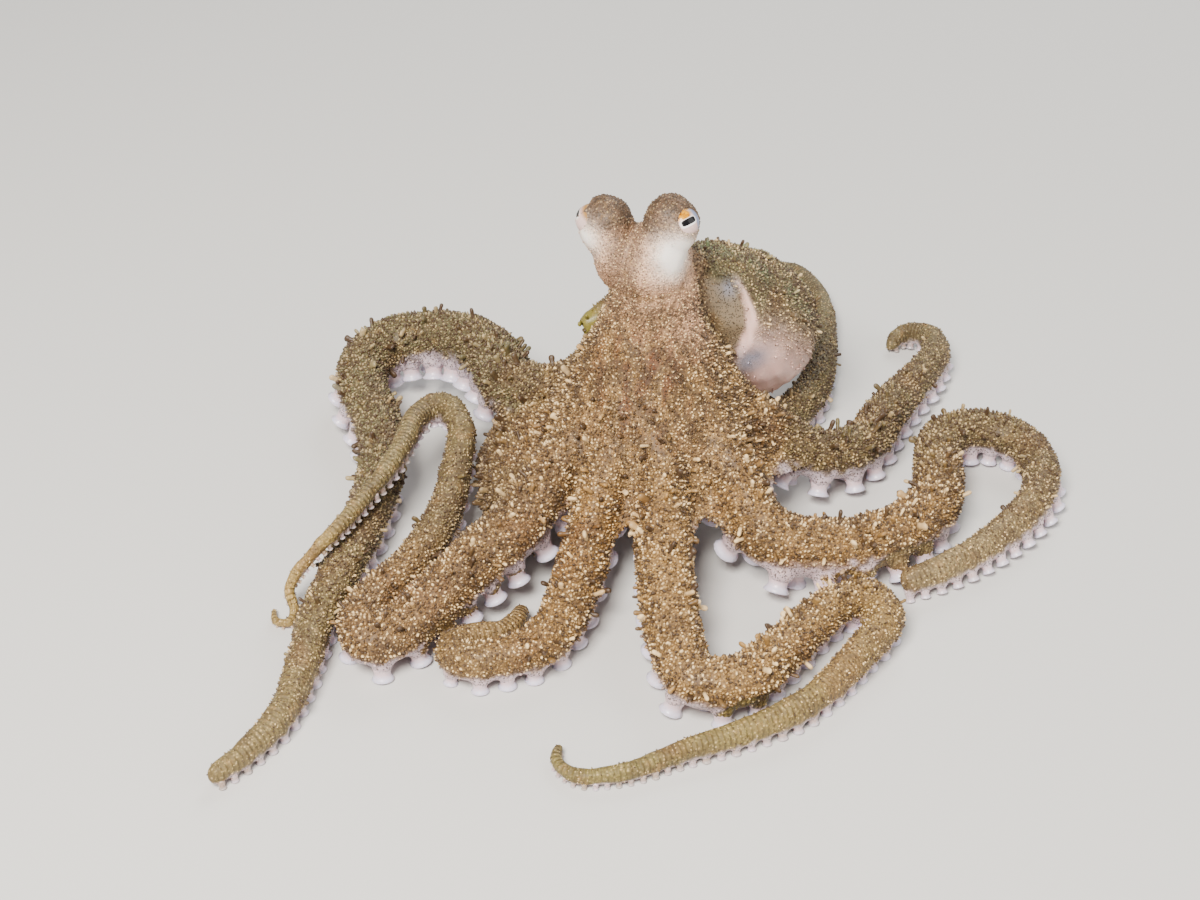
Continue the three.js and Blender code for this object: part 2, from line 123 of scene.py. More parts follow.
class Ripple:
    """A smooth random field, a sum of waves in many directions."""

    waves = 9

    def __init__(self, wavelength: float, seed: int) -> None:
        """Draws the waves.

        Args:
            wavelength: About how long the waves are, in millimetres.
            seed: The seed.
        """
        rng = np.random.default_rng(seed)
        self.directions = unit(rng.normal(size=(self.waves, 3))) * (2 * math.pi / wavelength)
        self.directions *= rng.uniform(0.7, 1.4, size=(self.waves, 1))
        self.phases = rng.uniform(0, 2 * math.pi, self.waves)

    def at(self, points: Array) -> Array:
        """The field at the points, mostly between -1 and 1."""
        waves = np.sin(points @ self.directions.T + self.phases)
        return waves.sum(axis=1) / math.sqrt(self.waves) / 1.2


def loft(rings: Array) -> Patch:
    """A closed skin over rings of points, with a fan over each end.

    Args:
        rings: Rings by points by 3.

    Returns:
        Corners and faces.
    """
    count, sides = rings.shape[:2]
    corners = np.vstack([rings.reshape(-1, 3), rings[0].mean(axis=0), rings[-1].mean(axis=0)])
    start, end = count * sides, count * sides + 1
    faces: list[tuple[int, ...]] = []
    for i in range(count - 1):
        for j in range(sides):
            k = (j + 1) % sides
            faces.append((i * sides + j, i * sides + k, (i + 1) * sides + k, (i + 1) * sides + j))
    for j in range(sides):
        k = (j + 1) % sides
        faces.append((start, k, j))
        faces.append((end, (count - 1) * sides + j, (count - 1) * sides + k))
    return corners, faces


def egg(centre: Array, radii: tuple[float, float, float], axes: Array, across: int = 40,
        down: int = 26) -> Patch:
    """An ellipsoid with its radii along the three axes given.

    Args:
        centre: Its middle.
        radii: One for each axis.
        axes: The axes, one a row.
        across: Points round each ring.
        down: Rings from pole to pole.

    Returns:
        Corners and faces.
    """
    polar = np.linspace(0.02, math.pi - 0.02, down)
    turn = np.linspace(0, 2 * math.pi, across, endpoint=False)
    ball = np.stack([np.outer(np.sin(polar), np.cos(turn)), np.outer(np.sin(polar), np.sin(turn)),
                     np.outer(np.cos(polar), np.ones(across))], axis=-1)
    return loft(np.asarray(centre) + (ball * np.array(radii)) @ np.asarray(axes))


def hoop(centre: Array, axis: Array, radius: float, thickness: float, sides: int = 36) -> Patch:
    """A closed ring of round section about an axis.

    Args:
        centre: Its middle.
        axis: Its axis.
        radius: From its axis to its section.
        thickness: Half its thickness.
        sides: Points round it.

    Returns:
        Corners and faces.
    """
    across = unit(np.cross(axis, UP))
    over = np.cross(axis, across)
    turn = np.linspace(0, 2 * math.pi, sides, endpoint=False)
    out = np.outer(np.cos(turn), across) + np.outer(np.sin(turn), over)
    section = np.linspace(0, 2 * math.pi, 12, endpoint=False)
    points = centre + out[:, None, :] * (radius + thickness * np.cos(section))[None, :, None] \
        + axis * (thickness * np.sin(section))[None, :, None]
    count = len(section)
    faces = [(i * count + j, i * count + (j + 1) % count, (i + 1) % sides * count + (j + 1) % count,
              (i + 1) % sides * count + j) for i in range(sides) for j in range(count)]
    return points.reshape(-1, 3), faces


def joined(patches: list[Patch]) -> Patch:
    """Several closed forms as one list of corners and faces.

    Args:
        patches: The forms.

    Returns:
        Corners and faces.
    """
    corners, faces, count = [], [], 0
    for points, own in patches:
        corners.append(points)
        faces.extend(tuple(i + count for i in face) for face in own)
        count += len(points)
    return np.vstack(corners), faces


def to_mesh(patch: Patch, name: str) -> bpy.types.Object:
    """An object made of corners and faces.

    Args:
        patch: Corners and faces.
        name: The object's name.

    Returns:
        The object.
    """
    corners, faces = patch
    mesh = bpy.data.meshes.new(name)
    mesh.from_pydata(corners.tolist(), [], faces)
    mesh.update()
    item = bpy.data.objects.new(name, mesh)
    bpy.context.scene.collection.objects.link(item)
    return item


def triples(items: bpy.types.bpy_prop_collection, key: str) -> Array:
    """Reads three numbers from every item of a collection.

    Args:
        items: The collection.
        key: Their name.

    Returns:
        One row for each item.
    """
    flat = np.empty(len(items) * 3, dtype=np.float32)
    items.foreach_get(key, flat)
    return flat.reshape(-1, 3).astype(float)


def corners_of(mesh: bpy.types.Mesh) -> Array:
    """The corners of a mesh, one a row."""
    return triples(mesh.vertices, "co")


def normals_of(mesh: bpy.types.Mesh) -> Array:
    """The corner normals of a mesh, one a row."""
    return triples(mesh.vertex_normals, "vector")


def set_corners(mesh: bpy.types.Mesh, points: Array) -> None:
    """Moves the corners of a mesh."""
    mesh.vertices.foreach_set("co", points.astype(np.float32).ravel())
    mesh.update()


def store(mesh: bpy.types.Mesh, name: str, values: Array) -> None:
    """Keeps a number, vector or colour for each corner of a mesh.

    Args:
        mesh: The mesh.
        name: The name to keep them under.
        values: One row for each corner.
    """
    kinds = {1: ("FLOAT", "value"), 3: ("FLOAT_VECTOR", "vector"), 4: ("FLOAT_COLOR", "color")}
    width = 1 if values.ndim == 1 else values.shape[1]
    kind, key = kinds[width]
    layer = mesh.attributes.get(name) or mesh.attributes.new(name, kind, "POINT")
    layer.data.foreach_set(key, values.astype(np.float32).ravel())


def opaque(tint: Array) -> Array:
    """Colours with a fourth channel of 1."""
    return np.column_stack([tint, np.ones(len(tint))])


def evaluated(item: bpy.types.Object, name: str) -> bpy.types.Object:
    """Makes a plain mesh of what an object's modifiers make of it, and deletes the object.

    Args:
        item: The object.
        name: The new one's name.

    Returns:
        The new object.
    """
    graph = bpy.context.evaluated_depsgraph_get()
    mesh = bpy.data.meshes.new_from_object(item.evaluated_get(graph), preserve_all_data_layers=True,
                                           depsgraph=graph)
    mesh.name = name
    discard(item)
    made = bpy.data.objects.new(name, mesh)
    bpy.context.scene.collection.objects.link(made)
    return made


def discard(item: bpy.types.Object) -> None:
    """Deletes an object and its mesh.

    Args:
        item: The object.
    """
    mesh = item.data
    bpy.data.objects.remove(item)
    bpy.data.meshes.remove(mesh)


def settle(item: bpy.types.Object) -> None:
    """Sets a piece down in the model's frame, in metres, with smooth shading.

    Args:
        item: The piece, in millimetres from the crown.
    """
    mesh = item.data
    set_corners(mesh, (corners_of(mesh) + CROWN) * MM)
    mesh.shade_smooth()


# ---- Colours and finishes ----
def paint(red: int, green: int, blue: int) -> Array:
    """A display colour as linear light."""
    c = np.array([red, green, blue]) / 255
    return np.where(c <= 0.04045, c / 12.92, ((c + 0.055) / 1.055) ** 2.4)


class Tone(Enum):
    """The animal's colours, as they are displayed."""

    TAN = (154, 119, 72)
    SAND = (182, 142, 84)
    PINK = (240, 188, 148)
    PEARL = (255, 246, 238)
    ROSE = (255, 208, 196)
    OLIVE = (106, 110, 74)
    GREY = (136, 118, 92)
    BARK = (68, 48, 28)
    RUST = (124, 62, 30)
    DUSK = (160, 166, 188)
    LILAC = (222, 200, 212)
    # Painted shade for the deep fold.
    WEB = (104, 82, 50)
    CREAM = (242, 208, 154)
    INK = (44, 32, 18)
    SHADE = (84, 84, 56)
    KNOB = (122, 112, 46)
    RIM = (214, 208, 226)
    PILLAR = (222, 196, 202)
    CUP = (168, 140, 150)
    DOT = (150, 104, 78)
    IRIS = (202, 168, 158)
    PALE_IRIS = (226, 198, 196)
    BRONZE = (150, 116, 72)
    SLATE = (134, 142, 172)
    OLD_GOLD = (164, 100, 2)
    GOLD = (216, 152, 16)
    WHITE = (250, 248, 246)

    @property
    def light(self) -> Array:
        """The colour as linear light."""
        return paint(*self.value)


class Hand(Enum):
    """The animal's own left and right."""

    LEFT = 1
    RIGHT = -1

    def of(self, pair: tuple[Choice, ...]) -> Choice:
        """The left or the right one of a pair."""
        return pair[0] if self is Hand.LEFT else pair[1]


class Shader:
    """A material's nodes while they are put together."""

    def __init__(self, name: str) -> None:
        """Starts a material with nothing but its surface and output.

        Args:
            name: The material's name.
        """
        self.material = bpy.data.materials.new(name)
        self.material.use_nodes = True
        self.tree = self.material.node_tree
        self.tree.nodes.clear()
        self.surface = self.add("ShaderNodeBsdfPrincipled")
        self.add("ShaderNodeOutputMaterial", {"Surface": self.surface.outputs[0]})

    def fill(self, node: bpy.types.Node, inputs: dict) -> None:
        """Sets a node's inputs, or links them where the value is a socket.

        Args:
            node: The node.
            inputs: Values or sockets by the input's name or number.
        """
        for key, value in inputs.items():
            if isinstance(value, bpy.types.NodeSocket):
                self.tree.links.new(value, node.inputs[key])
            else:
                node.inputs[key].default_value = value

    def add(self, kind: str, inputs: dict | None = None, **settings: object) -> bpy.types.Node:
        """Makes a node.

        Args:
            kind: The node's type.
            inputs: Its inputs, by name or number.
            settings: Its properties.

        Returns:
            The node.
        """
        node = self.tree.nodes.new(kind)
        for key, value in settings.items():
            setattr(node, key, value)
        self.fill(node, inputs or {})
        return node

    def finish(self, inputs: dict) -> bpy.types.Material:
        """Fills in the surface itself and gives the finished material."""
        self.fill(self.surface, inputs)
        return self.material

    def attribute(self, name: str, output: str = "Fac") -> bpy.types.NodeSocket:
        """What the mesh keeps under that name."""
        return self.add("ShaderNodeAttribute", attribute_name=name).outputs[output]

    def math(self, operation: str, a: object, b: object = 0.0) -> bpy.types.NodeSocket:
        """One sum on two numbers."""
        return self.add("ShaderNodeMath", {0: a, 1: b}, operation=operation).outputs[0]

    def times(self, a: object, b: object) -> bpy.types.NodeSocket:
        """The product of two numbers."""
        return self.math("MULTIPLY", a, b)

    def ramp(self, value: bpy.types.NodeSocket, low: float, high: float, to_low: float = 0.0,
             to_high: float = 1.0) -> bpy.types.NodeSocket:
        """A number moved smoothly from one range to another."""
        return self.add("ShaderNodeMapRange", {0: value, 1: low, 2: high, 3: to_low, 4: to_high},
                        interpolation_type="SMOOTHSTEP").outputs[0]

    def mix(self, share: bpy.types.NodeSocket, under: object, over: object) -> bpy.types.NodeSocket:
        """Lays one colour over another.

        Args:
            share: How much of the upper one shows.
            under: The lower colour, as a socket or linear light.
            over: The upper one.

        Returns:
            The mixed colour.
        """
        colours = {key: value if isinstance(value, bpy.types.NodeSocket) else (*map(float, value), 1.0)
                   for key, value in ((6, under), (7, over))}
        return self.add("ShaderNodeMix", {0: share, **colours}, data_type="RGBA").outputs[2]

    def first(self, colour: bpy.types.NodeSocket) -> bpy.types.NodeSocket:
        """The first channel of a colour."""
        return self.add("ShaderNodeSeparateColor", {0: colour}).outputs[0]

    def noise(self, per_mm: float, detail: float = 3.0, shift: float = 0.0) -> bpy.types.NodeSocket:
        """Makes cloudy noise that is fixed to the piece.

        Args:
            per_mm: Clouds to the millimetre.
            detail: How many finer layers they have.
            shift: Moves them, so that two layers differ.

        Returns:
            The noise, about 0 to 1.
        """
        place = self.add("ShaderNodeTexCoord").outputs["Object"]
        moved = self.add("ShaderNodeMapping", {"Vector": place, "Location": (shift, shift, shift)}).outputs[0]
        return self.add("ShaderNodeTexNoise",
                        {"Vector": moved, "Scale": per_mm / MM, "Detail": detail}).outputs[0]

    def cells(self, per_mm: float, output: str = "Distance") -> bpy.types.NodeSocket:
        """How far it is to the middle of round cells fixed to the piece, or the cells' colours."""
        place = self.add("ShaderNodeTexCoord").outputs["Object"]
        return self.add("ShaderNodeTexVoronoi", {"Vector": place, "Scale": per_mm / MM}).outputs[output]

    def bump(self, height: bpy.types.NodeSocket, depth: float) -> bpy.types.NodeSocket:
        """A relief of that depth in millimetres."""
        return self.add("ShaderNodeBump",
                        {"Height": height, "Distance": depth * MM, "Strength": 1.0}).outputs[0]


@dataclass(frozen=True)
class Clouds:
    """One layer of cloudy markings: it starts and is full at those levels of its noise."""

    tone: Tone
    per_mm: float
    detail: float
    shift: float
    start: float
    full: float
    strength: float


CLOUDS = (Clouds(Tone.BARK, 0.16, 4.0, 3.1, 0.46, 0.66, 0.45),
          Clouds(Tone.RUST, 0.07, 3.0, 7.7, 0.54, 0.68, 0.22),
          Clouds(Tone.SAND, 0.45, 3.0, 1.3, 0.55, 0.7, 0.35))


def mottled(shader: Shader) -> bpy.types.NodeSocket:
    """The markings that skin and grains share: brown clouds, rusty patches and pale flecks over the tint.

    Args:
        shader: The material in hand.

    Returns:
        The colour.
    """
    marked = shader.attribute("marked")
    colour = shader.attribute("tint", "Color")
    for layer in CLOUDS:
        cloud = shader.ramp(shader.noise(layer.per_mm, layer.detail, layer.shift), layer.start, layer.full)
        strength = shader.times(marked, layer.strength)
        colour = shader.mix(shader.times(cloud, strength), colour, layer.tone.light)
    return colour


@dataclass(frozen=True)
class SkinFinish:
    """Soft skin, dull where it is grained and wet where it is smooth, with dots of pigment, painted
    highlights on the tops of its small grains and painted shade in the gaps between them.
    """

    wet: float = 0.4
    dull: float = 0.68
    gloss: float = 0.06
    rings_per_mm: float = 1.0
    grain_per_mm: float = 1.8
    dots_per_mm: float = 2.3
    gap_shade: float = 0.85
    fine_relief: float = 0.25
    ring_relief: float = 0.4
    depth: float = 0.3

    def material(self) -> bpy.types.Material:
        """Builds the material.

        Returns:
            The material.
        """
        shader = Shader("octopus skin")
        rough = shader.attribute("rough")
        middle = shader.cells(self.grain_per_mm)
        chance = shader.first(shader.cells(self.grain_per_mm, "Color"))
        # Painted highlight: cream on the middles of some of the small cells, where the bumps rise.
        lit = shader.times(shader.ramp(middle, 0.5, 0.1), shader.ramp(chance, 0.4, 0.9, 0.0, 0.8))
        highlighted = shader.mix(shader.times(lit, rough), mottled(shader), Tone.CREAM.light)
        # Painted shade: bark brown towards the edges of the cells, in the gaps between the bumps.
        hollow_shade = shader.times(shader.ramp(middle, 0.3, 0.6), shader.ramp(chance, 0.8, 0.2, 0.55, 1.0))
        gaps = shader.mix(shader.times(hollow_shade, shader.times(rough, self.gap_shade)), highlighted, Tone.BARK.light)
        dots = shader.ramp(shader.cells(self.dots_per_mm), 0.46, 0.26)
        dotted = shader.mix(shader.times(dots, shader.attribute("dotted")), gaps, Tone.INK.light)
        grains = shader.times(shader.ramp(middle, 0.0, 0.55, 1.0, 0.0), rough)
        wave = shader.math("SINE", shader.times(shader.attribute("along"), 2 * math.pi * self.rings_per_mm))
        rings = shader.times(wave, shader.attribute("ringed"))
        fine = shader.math("ADD", shader.times(shader.noise(4.0, 2.0), self.fine_relief),
                           shader.times(rings, self.ring_relief))
        return shader.finish({
            "Base Color": dotted, "Normal": shader.bump(shader.math("ADD", grains, fine), self.depth),
            "Roughness": shader.ramp(rough, 0.0, 0.8, self.wet, self.dull), "Subsurface Weight": 0.12,
            "Subsurface Radius": (1.0, 0.5, 0.3), "Subsurface Scale": 1.2 * MM, "Coat Weight": self.gloss,
            "Coat Roughness": 0.3})


@dataclass(frozen=True)
class GrainFinish:
    """Rounded skin grains, each with a shade of its own, from dark brown to cream."""

    roughness: float = 0.5
    gloss: float = 0.1
    depth: float = 0.05
    fewest_pale: float = 0.25  # the share of the pale flecks that are left on the darkest skin
    most_pale: float = 0.95
    foot_shade: float = 0.85

    def material(self) -> bpy.types.Material:
        """Builds the material.

        Returns:
            The material.
        """
        shader = Shader("octopus grains")
        fleck = shader.attribute("fleck")
        marked = shader.attribute("marked")
        dark = shader.times(shader.ramp(fleck, 0.6, 0.2), marked)
        dimmed = shader.mix(dark, mottled(shader), Tone.BARK.light)
        brightness = shader.first(shader.attribute("tint", "Color"))
        few = shader.times(marked, shader.ramp(brightness, 0.1, 0.3, self.fewest_pale, self.most_pale))
        lit = shader.mix(shader.times(shader.ramp(fleck, 0.6, 0.9), few), dimmed, Tone.CREAM.light)
        foot = shader.times(shader.ramp(shader.attribute("rise"), 0.6, -0.1), self.foot_shade)
        return shader.finish({
            "Base Color": shader.mix(foot, lit, Tone.BARK.light),
            "Normal": shader.bump(shader.noise(5.0, 2.0), self.depth), "Roughness": self.roughness,
            "Coat Weight": self.gloss, "Coat Roughness": 0.3})


@dataclass(frozen=True)
class SuckerFinish:
    """Smooth, pale and faintly translucent, white at the rim and dotted towards the arm."""

    roughness: float = 0.36
    gloss: float = 0.4
    depth: float = 0.06
    dots_per_mm: float = 2.4
    blend_in: float = 0.7  # how far the pillar takes the arm's colour where it grows from the arm

    def material(self) -> bpy.types.Material:
        """Builds the material.

        Returns:
            The material.
        """
        shader = Shader("octopus suckers")
        height = shader.attribute("cup_height")
        pillar = shader.mix(shader.ramp(height, 0.9, 0.2), Tone.PILLAR.light, Tone.RIM.light)
        top = shader.times(shader.ramp(height, 1.0, 2.1), self.blend_in)
        taken = shader.math("MAXIMUM", top, shader.attribute("small"))
        grown = shader.mix(taken, pillar, shader.attribute("tint", "Color"))
        inner = shader.mix(shader.attribute("cup_inside"), grown, Tone.CUP.light)
        dots = shader.times(shader.ramp(shader.cells(self.dots_per_mm), 0.42, 0.22),
                            shader.ramp(height, 0.7, 1.5, 0.0, 0.75))
        return shader.finish({
            "Base Color": shader.mix(dots, inner, Tone.DOT.light),
            "Normal": shader.bump(shader.noise(3.0, 3.0), self.depth), "Roughness": self.roughness,
            "Subsurface Weight": 0.2, "Subsurface Radius": (1.0, 0.6, 0.5), "Subsurface Scale": 1.0 * MM,
            "Coat Weight": self.gloss, "Coat Roughness": 0.2})


@dataclass(frozen=True)
class Bar:
    """A round-ended bar on the eye: its half length and height, middle and soft edge, in eye radii."""

    half: tuple[float, float]
    middle: tuple[float, float]
    soft: float
    power: float = 4.0

    def inside(self, shader: Shader, x: bpy.types.NodeSocket,
               y: bpy.types.NodeSocket) -> bpy.types.NodeSocket:
        """Finds what lies in the bar.

        Args:
            shader: The material in hand.
            x: The place across the eye.
            y: The place up it.

        Returns:
            1 inside the bar and 0 outside it.
        """
        total = []
        for value, half, middle in zip((x, y), self.half, self.middle):
            away = shader.math("ABSOLUTE", shader.math("SUBTRACT", value, middle))
            total.append(shader.math("POWER", shader.math("DIVIDE", away, half), self.power))
        away = shader.math("POWER", shader.math("ADD", *total), 1 / self.power)
        return shader.ramp(away, 1.0 + self.soft, 1.0 - self.soft)


@dataclass(frozen=True)
class EyeFinish:
    """A clear wet eye: black bar pupil edged in white, a golden iris above it and a silvery ball."""

    pupil: Bar = Bar((0.47, 0.19), (0.0, 0.02), 0.06)
    border: Bar = Bar((0.47 + 0.065, 0.19 + 0.065), (-0.02, -0.02), 0.12)
    gold: Bar = Bar((0.46, 0.27), (-0.16, 0.5), 0.2)
    tilt: float = -14.0
    roughness: float = 0.3
    clear_coat: float = 0.5
    black: tuple[float, float, float] = (0.004, 0.004, 0.005)

    def material(self) -> bpy.types.Material:
        """Builds the material.

        Returns:
            The material.
        """
        shader = Shader("octopus eye")
        gaze = shader.attribute("gaze", "Vector")
        level = shader.add("ShaderNodeVectorRotate", {"Vector": gaze, "Angle": math.radians(self.tilt)},
                           rotation_type="Z_AXIS").outputs[0]
        x, y = shader.add("ShaderNodeSeparateXYZ", {0: level}).outputs[:2]
        streaks = shader.noise(2.2, 4.0)
        iris = shader.mix(streaks, Tone.IRIS.light, Tone.PALE_IRIS.light)
        brown = shader.mix(shader.ramp(y, 0.25, 0.6), iris, Tone.BRONZE.light)
        bluish = shader.mix(shader.ramp(x, 0.4, 0.56), brown, Tone.SLATE.light)
        gold = shader.mix(shader.ramp(streaks, 0.35, 0.65), Tone.OLD_GOLD.light, Tone.GOLD.light)
        gilt = shader.times(self.gold.inside(shader, x, y), shader.attribute("gilt"))
        with_gold = shader.mix(gilt, bluish, gold)
        white = shader.mix(self.border.inside(shader, x, y), with_gold, Tone.WHITE.light)
        return shader.finish({
            "Base Color": shader.mix(self.pupil.inside(shader, x, y), white, self.black),
            "Roughness": self.roughness, "Coat Weight": self.clear_coat, "Coat Roughness": 0.03,
            "Specular IOR Level": 0.1})


# ---- Arms ----
FRONT_ROOT = ((5, 27.5), (12, 25.8), (19, 21.5))  # distance from the axis, and height of the arm's middle
REAR_ROOT = ((5, 24), (12, 19.5), (19, 14.5))


@dataclass(frozen=True)
class ArmPlan:
    """One arm: where it leaves the crown, its radius at root and tip, how soon it thins, and its route.

    The route's points are x, y, the suckers' height above the floor, and the roll to the arm's own right.
    """

    name: str
    azimuth: float
    root: tuple[tuple[float, float], ...]
    radii: tuple[float, float]
    thinning: float
    route: tuple[tuple[float, float, float, float], ...]
    near: tuple[int, int, int]  # its colour at the root, and further out
    far: tuple[int, int, int]


ARM_PLANS = (
    ArmPlan("arm_left_1", -85, FRONT_ROOT, (6.8, 1.0), 0.8, (
        (1.8, -37, 5, 0), (3.0, -51, 1.5, 0), (6.5, -61.4, 0, -8), (14.2, -61.8, 0, 0), (21.2, -54.6, 0, 8),
        (27.4, -46.6, 0, 8), (33.0, -39.8, 0, 6), (39.4, -37.0, 0, 0), (42.2, -42.6, 0, -6),
        (36.8, -51.4, 0, -8), (31.0, -59.0, 0, -4), (24.2, -65.4, 0, 0), (13.6, -71.2, 0, 0),
        (4.4, -74.8, 0, 0), (-4.4, -79, 0, 0), (-13.4, -80.2, 0, 0), (-17.2, -76.6, 0, 0),
        (-16.9, -72.0, 0, 0)), (164, 126, 70), (134, 120, 64)),
    ArmPlan("arm_left_2", -47, FRONT_ROOT, (7.2, 2.8), 0.9, (
        (20.9, -25.6, 3, 0), (28, -26.4, 0.6, -20), (38, -24.8, 0, -22), (48.4, -18.6, 0, -16),
        (55.6, -9.4, 0, 0), (57.4, 0.4, 0.4, 0), (58.4, 7.8, 0.6, 0), (61.6, 13.6, 0.6, 0),
        (68.2, 15.4, 0.6, 0), (75.2, 12.6, 0.4, 8), (78.2, 5.4, 0, 18), (77.0, -3.2, 0, 22),
        (71.6, -12.0, 0, 22), (64.0, -19.8, 0, 20), (55.4, -26.2, 0, 14), (46.4, -30.6, 0, 4)),
        (156, 118, 64), (142, 122, 80)),
    ArmPlan("arm_left_3", 2, FRONT_ROOT, (6.4, 0.9), 0.42, (
        (29.5, 1.6, 4, -8), (37.5, 4.2, 1.2, -10), (44.0, 10.4, 0.6, -6), (49.0, 20.4, 0.6, -4),
        (54.4, 30.2, 0.6, -8), (60.0, 39.6, 0.6, -14), (63.6, 48.6, 0.6, -14), (63.0, 56.2, 0.8, -6),
        (58.0, 58.6, 0.6, 0), (54.2, 55.4, 0, 0)), (128, 102, 58), (146, 120, 72)),
    ArmPlan("arm_left_4", 42, REAR_ROOT, (5.6, 0.8), 0.85, (
        (25.0, 18.6, 0, 0), (33.0, 27.6, 0, 0), (37.2, 39.6, 0, 0), (39.6, 53.6, 0, 0), (40.8, 67.6, 0, 0),
        (39.4, 79.6, 0, 0), (35.4, 87.4, 0, 0), (27.8, 88.6, 0, 0), (21.6, 83.6, 0, 0), (21.8, 76, 0, 0),
        (27.8, 73.4, 0, 0), (31.6, 77.4, 0, 0)), (134, 112, 66), (128, 112, 70)),
    ArmPlan("arm_right_1", -116, FRONT_ROOT, (6.2, 0.8), 0.42, (
        (-13.4, -32.6, 2.6, 0), (-16.0, -42.4, 0.8, 0), (-20.2, -50.8, 0, -6), (-27, -53.8, 0, -4),
        (-33.0, -54.6, 0, 0), (-36.5, -51.3, 0, 0), (-33.4, -47.6, 0, 0), (-28.2, -45.6, 0, 0),
        (-25.4, -41.2, 0, 0), (-24.4, -35.8, 0, 0)), (154, 114, 58), (140, 112, 64)),
    ArmPlan("arm_right_2", -144, FRONT_ROOT, (7.2, 0.7), 0.95, (
        (-25.6, -25.4, 5, 8), (-32.4, -32.8, 3.4, 8), (-39.4, -41.2, 1.6, 4), (-46.0, -48.4, 0, 0),
        (-50.8, -51.0, 0, 0), (-53.0, -45.6, 0, 0), (-51.2, -38.6, 0, 0), (-47.0, -31.8, 0.6, 0),
        (-42.4, -23.6, 2.4, 0), (-39.2, -13.2, 5, 0), (-38.0, -4.0, 8, 0), (-37.6, 3.4, 11, 0),
        (-39.6, 9.0, 12.6, 0), (-42.8, 9.8, 13, 0), (-46.4, 6.2, 13, 0), (-48.4, -1.6, 12.9, 0),
        (-50.4, -8.6, 12.6, 0), (-53.4, -15.2, 12, 0), (-56.6, -21.6, 11.4, 0), (-59.2, -26.8, 11.2, 0),
        (-62.6, -30.4, 9.6, 0), (-67.6, -34.0, 4.2, 0), (-66.8, -36.6, 0.6, 0), (-67.4, -39.4, 0, 0),
        (-70.0, -38.4, 0, 0), (-70.9, -34.8, 0, 0)), (140, 106, 62), (176, 148, 84)),
    ArmPlan("arm_right_3", 152, FRONT_ROOT, (7.2, 1.8), 0.6, (
        (-27.4, 15.4, 8, 6), (-31.6, 27.6, 7.4, 10), (-38.2, 37.2, 6.4, 12), (-46.6, 41.4, 5, 12),
        (-55.0, 41.6, 3.6, 0), (-59.8, 35.4, 2.2, -20), (-59.2, 27.0, 1, -24), (-55.8, 18.2, 0.2, -20),
        (-53.8, 7.2, 0, -8), (-54.2, -6.0, 0, 0), (-56.2, -19.0, 0, 0), (-59.0, -31.4, 0, 0),
        (-61.8, -43.6, 0, 0), (-62.9, -55.8, 0, 0), (-65.2, -67.2, 0, 0), (-70.2, -75.8, 0, 0),
        (-75.4, -81.6, 0, 0)), (126, 112, 72), (130, 112, 66)),
    ArmPlan("arm_right_4", 98, REAR_ROOT, (5.7, 0.8), 0.85, (
        (-3.2, 28, 0, 0), (-2.4, 40, 0, 0), (-5.6, 51.6, 0, 0), (-4.0, 62.6, 0, 0), (3.2, 69.6, 0, 0),
        (10.6, 64.6, 0, 0), (11.4, 55.6, 0, 0), (5.8, 51.8, 0, 0), (2.8, 56.6, 0, 0), (5.8, 60.6, 0, 0)),
        (134, 112, 66), (128, 112, 70)),
)


@dataclass
class Frames:
    """The middle, directions and size of an arm at several distances along it."""

    centre: Array
    along: Array
    side: Array
    up: Array
    radius: Array
    squeeze: Array


